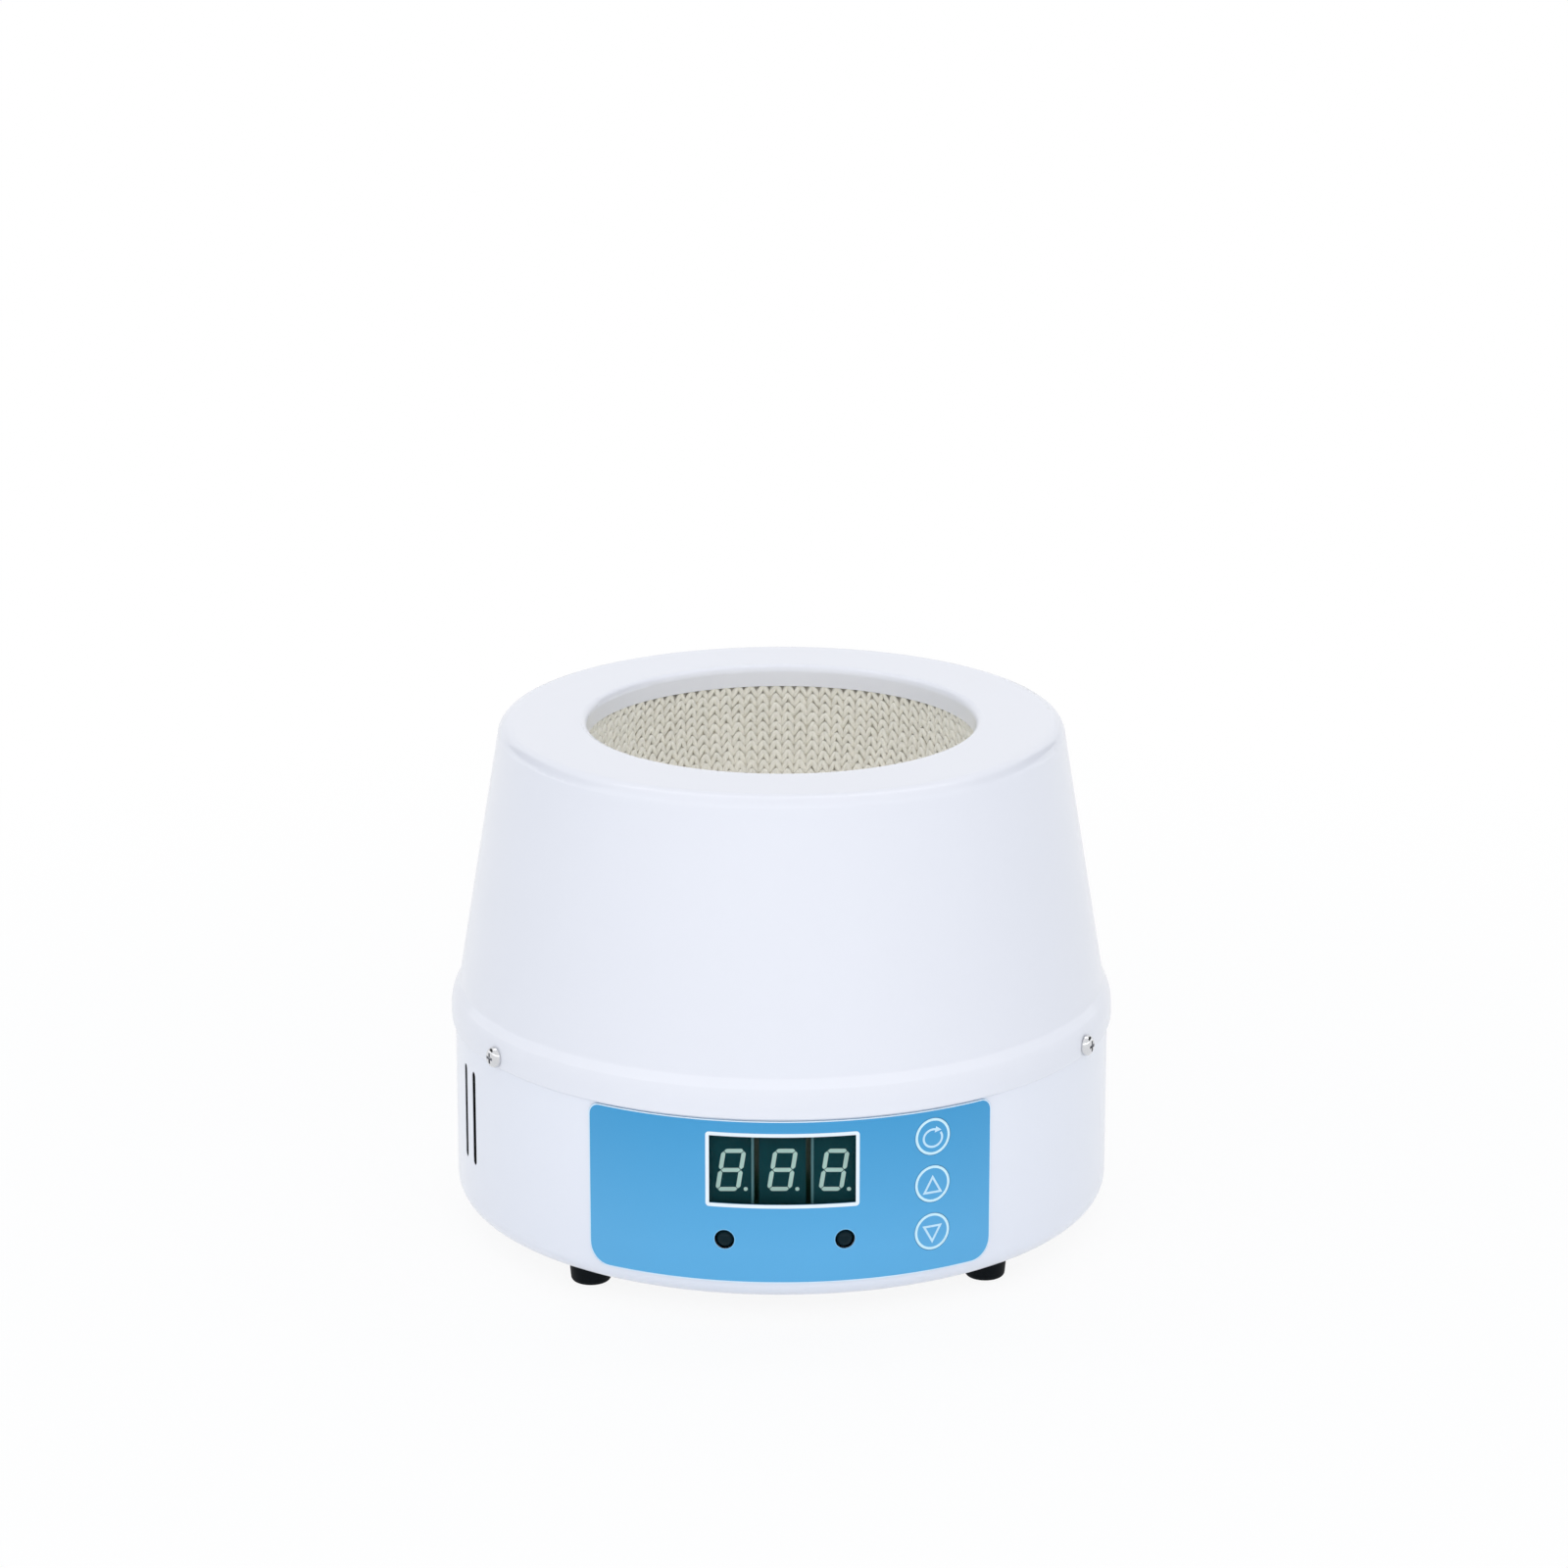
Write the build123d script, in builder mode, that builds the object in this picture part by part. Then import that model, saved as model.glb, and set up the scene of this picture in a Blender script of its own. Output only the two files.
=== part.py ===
"""Heating mantle for a round-bottomed flask, with a digital temperature control.

A conical sheet-steel shell stands on a drum-shaped pan. The shell holds a knitted heating bowl in
its cradle, packed in fibre insulation; the pan holds the control and the power parts.
Millimetres. +Z is up, the front looks along -Y, and the origin is on the axis at the floor.
Azimuths are degrees round the axis from the front, positive to the right.
"""

import os
from math import cos, radians, sin, sqrt, tan

from build123d import *

# Flask well
flask_radius = 52.5
knit_clearance = 1.7
lip_clearance = 1.09
knit_wall = 5.0
heater_gap = 1.0
cradle_sheet = 0.8
well_depth_line = 13.15

# Shell and pan
sheet = 1.0
lip_depth = 6.0
lip_bend = 2.0
jacket_room = 16.51
cone_taper = 12.18
shoulder_step = 2.4
shoulder_rise = 5.17
skirt_height = 5.87
skirt_clearance = 0.09
top_edge_bend = 4.2
crease_bend = 2.0
shoulder_bend = 12.0
hem_round = 0.7
sheet_edge_round = 0.25
skirt_lift = 51.5
pan_rim_lift = 56.0
pan_corner = 5.97

# Feet
foot_height = 5.83
foot_top_radius = 5.9
foot_bottom_radius = 5.35
foot_edge_round = 1.3
foot_inset = 11.5
foot_spread = 42.4

# Deck between the hot and the cool part
deck_lift = 49.7
deck_bend = 2.5
wool_floor = 11.2
wool_gap = 0.5
rim_nut_room = 4.0
fit_gap = 0.3
slip_fit = 0.05
thread_fit = 0.02

# Fasteners
shell_screw_azimuths = (-59.0, 62.4, 181.7)
shell_screw_radius = 1.5
shell_head_radius = 2.9
shell_head_height = 1.9
shell_head_round = 1.7
shell_screw_reach = 5.6
cross_width = 0.8
cross_depth = 1.0
screw_radius = 1.5
screw_head_radius = 2.3
screw_head_height = 1.8
nut_radius = 3.0
nut_height = 2.4

# Vent slots
vent_start = 69.8
vent_pitch = 4.7
vent_pairs = 3
vent_pair_pitch = 20.4
vent_right_start = 90.2
vent_height = 27.1
vent_width = 2.6
vent_lift = 31.0
floor_vent_count = 6
floor_vent_length = 34.0
floor_vent_width = 3.0
floor_vent_pitch = 9.0

# Control film and what shows through it
film_thickness = 0.35
film_glue = 0.05
film_half_angle = 36.0
film_low_lift = 5.36
film_high_lift = 51.08
film_low_corner = 6.0
film_high_corner = 3.2
display_azimuth = -1.6
display_lift = 37.1
window_width = 39.2
window_height = 19.0
window_margin = 1.0
lens_thickness = 0.25

module_width = 12.4
module_height = 19.2
module_lift = 35.9
module_depth = 8.0
module_pitch = 13.7
module_setback = 4.0
digit_width = 6.55
digit_height = 11.9
digit_bar = 1.15
digit_bar_gap = 0.14
digit_slant = 8.9
digit_depth = 0.6
point_radius = 0.55
point_offset = 3.95

lamp_azimuths = (-11.32, 8.89)
lamp_lift = 17.4
lamp_radius = 2.5
lamp_hole_radius = 2.7
lamp_length = 8.6
lamp_tip_round = 2.38
lamp_flange = 0.5
lamp_flange_radius = 2.9
lamp_stand_out = 0.5
lamp_lead_radius = 0.3
lamp_lead_pitch = 2.54

key_azimuth = 24.35
key_lifts = {"set_key": 43.5, "up_key": 30.1, "down_key": 16.56}
key_radius = 5.2
key_clearance = 0.12
key_thickness = 1.1
key_well_clearance = 0.4
key_stem_radius = 1.5
key_travel = 0.4
key_gap = 0.05

# Boards behind the film
board_thickness = 1.6
board_hole_inset = 3.5
display_board_width = 43.0
display_board_height = 34.0
display_board_lift = 30.5
key_board_width = 14.0
key_board_height = 38.0
key_board_lift = 30.1
switch_side = 6.0
switch_height = 3.5
plunger_radius = 1.75
plunger_height = 1.0
spacer_radius = 2.4
board_screw_radius = 1.25
board_screw_head_radius = 2.3
board_screw_head_height = 1.5
key_spacer_length = 3.0
bracket_setback = 18.5
key_bracket_setback = 16.4
bracket_sheet = 1.0
bracket_bend = 2.5
bracket_top_gap = 1.5
bracket_foot = 10.0
bracket_window_width = 24.0
bracket_window_height = 17.0
rivet_radius = 1.6
rivet_pitch = 22.0
rivet_head_radius = 3.0
rivet_head_height = 1.0
chip_width = 10.0
chip_height = 7.0
chip_thickness = 2.4
ribbon_width = 12.0
ribbon_thickness = 0.9
ribbon_bend = 3.0

# Power board
power_width = 84.0
power_depth = 62.0
power_shift = -2.0
pillar_radius = 3.0
pillar_height = 5.0
core_width = 32.0
core_depth = 12.0
core_height = 26.0
core_leg = 10.0
core_window = 6.0
core_yoke = 5.0
coil_depth = 20.0
core_place = (-22.0, 18.0)
sink_thickness = 2.0
sink_length = 34.0
sink_height = 26.0
sink_fin_count = 7
sink_fin_depth = 5.0
sink_fin_thickness = 1.2
sink_place = (30.0, 8.0)
triac_thickness = 4.4
triac_width = 10.0
triac_height = 15.0
triac_leg = 4.0
triac_leg_pitch = 2.54
triac_leg_width = 0.9
capacitor_radius = 5.0
capacitor_height = 16.0
capacitor_place = (-28.0, -18.0)
terminal_width = 36.0
terminal_depth = 14.0
terminal_height = 14.0
terminal_entry_radius = 2.2
terminal_entry_depth = 8.0
connector_width = 16.0
connector_depth = 8.0
connector_height = 10.0
mains_connector_place = (14.0, 22.0)
ribbon_connector_place = (-2.0, -24.0)
sensor_connector_place = (18.0, -22.0)

# Heater, sensor and leads
band_count = 6
band_width = 4.0
band_thickness = 0.6
band_first = 22.0
band_pitch = 11.5
strip_angle = 3.2
strip_thickness = 0.4
lead_spread = 12.5
lead_radius = 1.5
lead_hole_radius = 2.0
lead_entry = 6.0
bushing_radius = 4.0
bushing_flange_radius = 6.0
bushing_flange = 2.0
bushing_length = 7.0
sensor_radius = 1.5
sensor_hole_radius = 1.9
sensor_tip_drop = 0.3
sensor_tail = 8.0
gland_radius = 6.0
gland_height = 6.0
gland_neck_radius = 4.2
wire_radius = 1.2
wire_bend = 5.0

# Rear flat with the inlet and the power switch
flat_depth = 4.8
flat_width = 56.0
flat_rise = 37.0
flat_lift = 27.3
flat_draft = 35.0
bezel_thickness = 2.0
bezel_corner = 2.0
inlet_offset = 9.5
inlet_width = 30.0
inlet_height = 33.0
inlet_body_width = 27.0
inlet_body_height = 29.6
inlet_body_depth = 24.0
socket_width = 24.2
socket_height = 16.6
socket_chamfer = 3.5
socket_depth = 16.5
socket_drop = 5.2
blade_width = 2.0
blade_height = 4.0
blade_length = 13.5
blade_spread = 7.0
blade_rise = 4.5
tab_width = 6.0
tab_thickness = 0.8
tab_length = 8.0
drawer_width = 22.0
drawer_height = 7.4
drawer_length = 20.0
drawer_rise = 9.6
drawer_wall = 0.9
drawer_clearance = 0.3
drawer_lip = 1.2
fuse_radius = 2.5
fuse_length = 18.0

switch_offset = -17.5
switch_width = 15.0
switch_frame_height = 21.0
switch_body_width = 13.0
switch_body_height = 19.2
switch_body_depth = 14.0
rocker_width = 10.0
rocker_length = 14.6
rocker_rise = 3.0
rocker_waist = 1.7
rocker_below = 1.2
rocker_tilt = 10.0
rocker_clearance = 0.35
rocker_edge_round = 0.4
rocker_well_depth = 6.0
pivot_radius = 1.0
pivot_reach = 0.8
pivot_depth = 0.6

earth_place = (-38.0, 42.0)
stud_height = 6.0
lug_radius = 3.4
lug_thickness = 0.9
barrel_reach = 9.0
barrel_size = 3.0
wire_slack = 9.0

# Worked out from the sizes above
bowl_radius = flask_radius + knit_clearance
knit_radius = bowl_radius + knit_wall
cradle_radius = knit_radius + heater_gap
cradle_outer = cradle_radius + cradle_sheet
well_radius = flask_radius + lip_clearance
cone_top_radius = cradle_outer + jacket_room
cone_foot_radius = cone_top_radius + cone_taper
skirt_radius = cone_foot_radius + shoulder_step
base_radius = skirt_radius - sheet - skirt_clearance
pan_inner = base_radius - sheet

floor_z = foot_height + sheet
skirt_low_z = foot_height + skirt_lift
skirt_high_z = skirt_low_z + skirt_height
cone_foot_z = skirt_high_z + shoulder_rise
pan_rim_z = foot_height + pan_rim_lift
deck_low_z = foot_height + deck_lift
deck_z = deck_low_z + sheet
cradle_low_z = deck_z + wool_floor
well_centre_z = cradle_low_z + cradle_outer
top_z = well_centre_z + well_depth_line
top_under_z = top_z - sheet
shell_screw_z = skirt_low_z + skirt_height / 2
power_z = floor_z + pillar_height + board_thickness
flat_distance = base_radius - flat_depth
flat_z = foot_height + flat_lift
foot_azimuths = (-foot_spread, foot_spread, 180 - foot_spread, 180 + foot_spread)
board_face = base_radius - module_setback - module_depth
bracket_face = base_radius - bracket_setback
key_bracket_face = base_radius - key_bracket_setback
key_board_face = key_bracket_face + key_spacer_length + board_thickness
board_screw_reach = bracket_sheet + key_spacer_length - fit_gap
vent_steps = [vent_pair_pitch * pair + vent_pitch * n for pair in range(vent_pairs) for n in range(2)]
vent_azimuths = [-vent_start - step for step in vent_steps]
vent_azimuths += [vent_right_start + step for step in vent_steps]


def wall_plane(azimuth, distance, height):
    """Plane that faces outward at an azimuth, its X to the right as seen from outside, its Y up."""
    outward = Vector(sin(radians(azimuth)), -cos(radians(azimuth)), 0)
    across = Vector(cos(radians(azimuth)), sin(radians(azimuth)), 0)
    return Plane(origin=outward * distance + Vector(0, 0, height), x_dir=across, z_dir=outward)


def lifted(height):
    """Level plane at a height."""
    return Plane.XY.offset(height)


def panel_level(height):
    """Level plane at a height, its X along the display and its Y toward the rear."""
    return Plane(origin=(0, 0, height), x_dir=wall_plane(display_azimuth, 0, 0).x_dir, z_dir=(0, 0, 1))


def rivet_places():
    """Places of the bracket's two rivets on a panel level."""
    line = bracket_sheet - bracket_face + bracket_foot / 2
    return Locations((-rivet_pitch / 2, line), (rivet_pitch / 2, line))


def drum(radius, corner, low, high):
    """Upright round block with its lower edge rounded."""
    with BuildPart() as block:
        with BuildSketch(lifted(low)):
            Circle(radius)
        extrude(amount=high - low)
        fillet(block.edges().group_by(Axis.Z)[0], corner)
    return block.part


def well_form(radius, high):
    """Half ball about the well's centre, carried straight up to a height."""
    with BuildPart() as plug:
        with BuildSketch(Plane.XZ):
            with BuildLine():
                bottom = CenterArc((0, well_centre_z), radius, -90, 90)
                Polyline(bottom @ 1, (radius, high), (0, high), bottom @ 0)
            make_face()
        revolve(axis=Axis.Z)
    return plug.part


def pan_space(inset):
    """The pan's outline moved inward: its outside at nought, its inside at the sheet's thickness."""
    slope_gain = inset * (1 - sin(radians(flat_draft))) / cos(radians(flat_draft))
    with BuildPart() as space:
        add(drum(base_radius - inset, pan_corner - inset, foot_height + inset, pan_rim_z))
        with BuildSketch(wall_plane(180, flat_distance - inset, flat_z)):
            Rectangle(flat_width + 2 * slope_gain, flat_rise + 2 * slope_gain)
        extrude(amount=2 * flat_depth + inset, taper=-flat_draft, mode=Mode.SUBTRACT)
    return space.part


def save(part, name):
    """Label a finished piece and write its file."""
    part.label = name
    export_step(part, f"parts/{name}.step")


os.makedirs("parts", exist_ok=True)

# ---------------------------------------------------------------- shell, pan and feet

shell_route = (
    (well_radius, top_z - lip_depth),
    (well_radius, top_z),
    (cone_top_radius, top_z),
    (cone_foot_radius, cone_foot_z),
    (skirt_radius, skirt_high_z),
    (skirt_radius, skirt_low_z),
)
with BuildPart() as upper_shell:
    with BuildSketch(Plane.XZ):
        with BuildLine():
            FilletPolyline(*shell_route, radius=[lip_bend, top_edge_bend, crease_bend, shoulder_bend])
            offset(amount=sheet, side=Side.RIGHT)
        make_face()
    revolve(axis=Axis.Z)
    fillet(upper_shell.edges().group_by(Axis.Z)[0].sort_by(SortBy.RADIUS)[-1], hem_round)
    fillet(upper_shell.edges().group_by(Axis.Z)[0].sort_by(SortBy.RADIUS)[0], sheet_edge_round)
    for azimuth in shell_screw_azimuths:
        with BuildSketch(wall_plane(azimuth, skirt_radius + sheet, shell_screw_z)):
            Circle(shell_screw_radius + fit_gap)
    extrude(amount=-3 * sheet, mode=Mode.SUBTRACT)
save(upper_shell.part, "upper_shell")

with BuildPart() as base_pan:
    add(pan_space(0))
    add(pan_space(sheet), mode=Mode.SUBTRACT)
    with BuildSketch(wall_plane(display_azimuth, base_radius + sheet, foot_height + display_lift)):
        Rectangle(window_width + 2 * window_margin, window_height + 2 * window_margin)
    extrude(amount=-base_radius / 4, mode=Mode.SUBTRACT)
    for azimuth in lamp_azimuths:
        with BuildSketch(wall_plane(azimuth, base_radius + sheet, foot_height + lamp_lift)):
            Circle(lamp_hole_radius)
    for lift in key_lifts.values():
        with BuildSketch(wall_plane(key_azimuth, base_radius + sheet, foot_height + lift)):
            Circle(key_radius + key_well_clearance)
    for azimuth in vent_azimuths:
        with BuildSketch(wall_plane(azimuth, base_radius + sheet, foot_height + vent_lift)):
            SlotOverall(vent_height, vent_width, rotation=90)
    for azimuth in shell_screw_azimuths:
        with BuildSketch(wall_plane(azimuth, base_radius + sheet, shell_screw_z)):
            Circle(shell_screw_radius + fit_gap)
    extrude(amount=-3 * sheet, mode=Mode.SUBTRACT)
    with BuildSketch(wall_plane(180, flat_distance, flat_z)):
        with Locations((inlet_offset, 0)):
            Rectangle(inlet_body_width + 2 * fit_gap, inlet_body_height + 2 * fit_gap)
        with Locations((switch_offset, 0)):
            Rectangle(switch_body_width + 2 * fit_gap, switch_body_height + 2 * fit_gap)
    extrude(amount=-2 * sheet, mode=Mode.SUBTRACT)
    with BuildSketch(lifted(foot_height)):
        with GridLocations(floor_vent_pitch, power_depth + floor_vent_length / 3, floor_vent_count, 1):
            SlotOverall(floor_vent_length, floor_vent_width, rotation=90)
        for azimuth in foot_azimuths:
            foot_point = wall_plane(azimuth, base_radius - foot_inset, 0).origin
            with Locations((foot_point.X, foot_point.Y)):
                Circle(screw_radius + fit_gap)
    with BuildSketch(panel_level(foot_height)):
        with rivet_places():
            Circle(rivet_radius + slip_fit)
    with BuildSketch(lifted(foot_height)):
        with Locations(earth_place):
            Circle(screw_radius + slip_fit)
    extrude(amount=2 * sheet, mode=Mode.SUBTRACT)
save(base_pan.part, "base_pan")

foot_names = ("foot_front_left", "foot_front_right", "foot_rear_right", "foot_rear_left")
for name, azimuth in zip(foot_names, foot_azimuths):
    centre = wall_plane(azimuth, base_radius - foot_inset, 0).origin
    with BuildPart(Plane(origin=centre)) as foot:
        Cone(foot_bottom_radius, foot_top_radius, foot_height, align=(Align.CENTER, Align.CENTER, Align.MIN))
        fillet(foot.edges().group_by(Axis.Z)[0], foot_edge_round)
        with Locations((0, 0, foot_height / 2)):
            Hole(screw_radius + slip_fit, foot_height)
        Cylinder(screw_head_radius + fit_gap, foot_height / 2, mode=Mode.SUBTRACT,
                 align=(Align.CENTER, Align.CENTER, Align.MIN))
    save(foot.part, name)

foot_screw_top = floor_z + nut_height + sheet
with BuildPart() as foot_screws:
    for azimuth in foot_azimuths:
        centre = wall_plane(azimuth, base_radius - foot_inset, foot_height / 2).origin
        with BuildSketch(Plane(origin=centre)):
            Circle(screw_radius)
        extrude(amount=foot_screw_top - foot_height / 2)
        with BuildSketch(Plane(origin=centre)):
            Circle(screw_head_radius)
        extrude(amount=-screw_head_height)
save(foot_screws.part, "foot_screws")

with BuildPart() as pan_nuts:
    seats = [wall_plane(azimuth, base_radius - foot_inset, floor_z).origin for azimuth in foot_azimuths]
    seats += [Vector(*earth_place, floor_z + lug_thickness)]
    for seat in seats:
        with BuildSketch(Plane(origin=seat)):
            RegularPolygon(nut_radius, 6)
            Circle(screw_radius + thread_fit, mode=Mode.SUBTRACT)
        extrude(amount=nut_height)
save(pan_nuts.part, "pan_nuts")

# ---------------------------------------------------------------- deck and its screws

rim_outer = pan_inner - slip_fit
with BuildPart() as heat_shield:
    add(drum(rim_outer, deck_bend, deck_low_z, pan_rim_z))
    add(drum(rim_outer - sheet, deck_bend - sheet, deck_z, pan_rim_z), mode=Mode.SUBTRACT)
    with BuildSketch(lifted(deck_low_z)):
        with GridLocations(2 * lead_spread, 1, 2, 1):
            Circle(bushing_radius + slip_fit)
        Circle(sensor_radius + fit_gap)
    extrude(amount=2 * sheet, mode=Mode.SUBTRACT)
    for azimuth in shell_screw_azimuths:
        with BuildSketch(wall_plane(azimuth, base_radius, shell_screw_z)):
            Circle(shell_screw_radius + fit_gap)
    extrude(amount=-4 * sheet, mode=Mode.SUBTRACT)
save(heat_shield.part, "heat_shield")

head_seat = skirt_radius + slip_fit
with BuildPart() as shell_screw:
    with BuildSketch():
        Circle(shell_head_radius)
    extrude(amount=shell_head_height)
    fillet(shell_screw.edges().group_by(Axis.Z)[-1], shell_head_round)
    with BuildSketch(lifted(shell_head_height)):
        Rectangle(2 * shell_screw_radius, cross_width)
        Rectangle(cross_width, 2 * shell_screw_radius)
    extrude(amount=-cross_depth, mode=Mode.SUBTRACT)
    with BuildSketch():
        Circle(shell_screw_radius)
    extrude(amount=-shell_screw_reach)

with BuildPart() as shell_screws:
    with Locations(*[wall_plane(azimuth, head_seat, shell_screw_z) for azimuth in shell_screw_azimuths]):
        add(shell_screw.part)
save(shell_screws.part, "shell_screws")

rim_flat = sqrt((rim_outer - sheet) ** 2 - nut_radius**2) - slip_fit
with BuildPart() as shell_nuts:
    for azimuth in shell_screw_azimuths:
        with BuildSketch(wall_plane(azimuth, rim_flat, shell_screw_z)):
            RegularPolygon(nut_radius, 6)
            Circle(shell_screw_radius + thread_fit, mode=Mode.SUBTRACT)
        extrude(amount=-nut_height)
save(shell_nuts.part, "shell_nuts")

# ---------------------------------------------------------------- heating bowl

hem_radius = well_radius + sheet + fit_gap
with BuildPart() as heating_bowl:
    add(well_form(knit_radius, top_under_z - fit_gap))
    add(well_form(bowl_radius, top_z), mode=Mode.SUBTRACT)
    with BuildSketch(lifted(top_z)):
        Circle(hem_radius)
    extrude(amount=-lip_depth - fit_gap, mode=Mode.SUBTRACT)
    with BuildSketch(lifted(cradle_low_z)):
        Circle(sensor_hole_radius)
    extrude(amount=2 * knit_wall, mode=Mode.SUBTRACT)
save(heating_bowl.part, "heating_bowl")

flange_radius = cradle_outer + jacket_room / 2
with BuildPart() as bowl_cradle:
    add(well_form(cradle_outer, top_under_z))
    with BuildSketch(lifted(top_under_z)):
        Circle(flange_radius)
    extrude(amount=-cradle_sheet)
    add(well_form(cradle_radius, top_z), mode=Mode.SUBTRACT)
    with BuildSketch(lifted(cradle_low_z)):
        with GridLocations(2 * lead_spread, 1, 2, 1):
            Circle(lead_hole_radius)
        Circle(sensor_hole_radius)
    extrude(amount=2 * knit_wall, mode=Mode.SUBTRACT)
save(bowl_cradle.part, "bowl_cradle")

band_radius = (knit_radius + cradle_radius) / 2
with BuildPart() as heater_element:
    for n in range(band_count):
        polar = radians(band_first + n * band_pitch)
        middle = (band_radius * sin(polar), well_centre_z - band_radius * cos(polar))
        with BuildSketch(Plane.XZ):
            with Locations(Location((middle[0], middle[1], 0), (0, 0, band_first + n * band_pitch))):
                Rectangle(band_width, band_thickness)
        revolve(axis=Axis.Z)
    for turn in (-strip_angle / 2, 180 - strip_angle / 2):
        with BuildSketch(Plane.XZ.rotated((0, 0, turn))):
            with BuildLine():
                inner = CenterArc((0, well_centre_z), band_radius - strip_thickness / 2,
                                  band_first / 2 - 90, band_first / 2 + (band_count - 1) * band_pitch)
                outer = CenterArc((0, well_centre_z), band_radius + strip_thickness / 2,
                                  band_first / 2 - 90, band_first / 2 + (band_count - 1) * band_pitch)
                Line(inner @ 0, outer @ 0)
                Line(inner @ 1, outer @ 1)
            make_face()
        revolve(axis=Axis.Z, revolution_arc=strip_angle)
save(heater_element.part, "heater_element")

wool_radius = rim_outer - sheet - rim_nut_room
with BuildPart() as insulation:
    with BuildSketch(Plane.XZ):
        Polygon(
            (0, deck_z),
            (wool_radius, deck_z),
            (wool_radius, cone_foot_z),
            (cone_top_radius - sheet - top_edge_bend, top_under_z - cradle_sheet - wool_gap),
            (0, top_under_z - cradle_sheet - wool_gap),
            align=None,
        )
    revolve(axis=Axis.Z)
    add(well_form(cradle_outer + fit_gap, top_z), mode=Mode.SUBTRACT)
    with BuildSketch(lifted(deck_z)):
        with GridLocations(2 * lead_spread, 1, 2, 1):
            Circle(bushing_flange_radius + fit_gap)
        Circle(gland_radius + fit_gap)
    extrude(amount=wool_floor + 2 * knit_wall, mode=Mode.SUBTRACT)
save(insulation.part, "insulation")

sensor_tip_z = well_centre_z - bowl_radius - sensor_tip_drop
sensor_low_z = deck_low_z - sensor_tail
with BuildPart() as sensor_probe:
    with BuildSketch(lifted(sensor_low_z)):
        Circle(sensor_radius)
    extrude(amount=sensor_tip_z - sensor_low_z)
    fillet(sensor_probe.edges().group_by(Axis.Z)[-1], sensor_radius / 2)
save(sensor_probe.part, "sensor_probe")

with BuildPart() as sensor_gland:
    with BuildSketch(lifted(deck_z)):
        RegularPolygon(gland_radius, 6)
    extrude(amount=gland_height / 2)
    with BuildSketch(lifted(deck_z + gland_height / 2)):
        Circle(gland_neck_radius)
    extrude(amount=gland_height / 2)
    with Locations((0, 0, deck_z)):
        Hole(sensor_radius + thread_fit, 2 * gland_height)
save(sensor_gland.part, "sensor_gland")

with BuildPart() as lead_bushings:
    with GridLocations(2 * lead_spread, 1, 2, 1):
        with Locations((0, 0, deck_z)):
            Cylinder(bushing_flange_radius, bushing_flange, align=(Align.CENTER, Align.CENTER, Align.MIN))
            Cylinder(bushing_radius, bushing_length, align=(Align.CENTER, Align.CENTER, Align.MAX))
            Hole(lead_radius + slip_fit, 2 * bushing_length)
save(lead_bushings.part, "lead_bushings")

terminal_top_z = power_z + terminal_height
strip_low_z = well_centre_z - sqrt((band_radius + strip_thickness / 2) ** 2 - (lead_spread - lead_radius) ** 2)
with BuildPart() as heater_leads:
    with BuildSketch(lifted(terminal_top_z - lead_entry)):
        with GridLocations(2 * lead_spread, 1, 2, 1):
            Circle(lead_radius)
    extrude(amount=strip_low_z - slip_fit - terminal_top_z + lead_entry)
save(heater_leads.part, "heater_leads")

# ---------------------------------------------------------------- control film and lens

film_radius = base_radius + film_glue + film_thickness
film_low_z = foot_height + film_low_lift
film_high_z = foot_height + film_high_lift
with BuildPart() as panel_film:
    with BuildSketch(Plane.XZ.rotated((0, 0, -90 - film_half_angle))):
        with Locations((film_radius - film_thickness / 2, (film_low_z + film_high_z) / 2)):
            Rectangle(film_thickness, film_high_z - film_low_z)
    revolve(axis=Axis.Z, revolution_arc=2 * film_half_angle)
    corners = panel_film.edges().filter_by(lambda edge: edge.length < 2 * film_thickness)
    fillet(corners.group_by(Axis.Z)[0], film_low_corner)
    corners = panel_film.edges().filter_by(lambda edge: edge.length < 2 * film_thickness)
    fillet(corners.group_by(Axis.Z)[-1], film_high_corner)
    with BuildSketch(wall_plane(display_azimuth, film_radius + sheet, foot_height + display_lift)):
        Rectangle(window_width, window_height)
    for azimuth in lamp_azimuths:
        with BuildSketch(wall_plane(azimuth, film_radius + sheet, foot_height + lamp_lift)):
            Circle(lamp_hole_radius)
    for lift in key_lifts.values():
        with BuildSketch(wall_plane(key_azimuth, film_radius + sheet, foot_height + lift)):
            Circle(key_radius + key_clearance)
    extrude(amount=-base_radius / 8, mode=Mode.SUBTRACT)
save(panel_film.part, "panel_film")

lens_face = base_radius + film_glue + lens_thickness
with BuildPart() as display_lens:
    with BuildSketch(wall_plane(display_azimuth, film_radius + sheet, foot_height + display_lift)):
        Rectangle(window_width - 2 * slip_fit, window_height - 2 * slip_fit)
    extrude(amount=-base_radius / 8)
    Cylinder(lens_face, 2 * top_z, mode=Mode.INTERSECT)
    Cylinder(lens_face - lens_thickness, 2 * top_z, mode=Mode.SUBTRACT)
save(display_lens.part, "display_lens")

# ---------------------------------------------------------------- display modules

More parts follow.
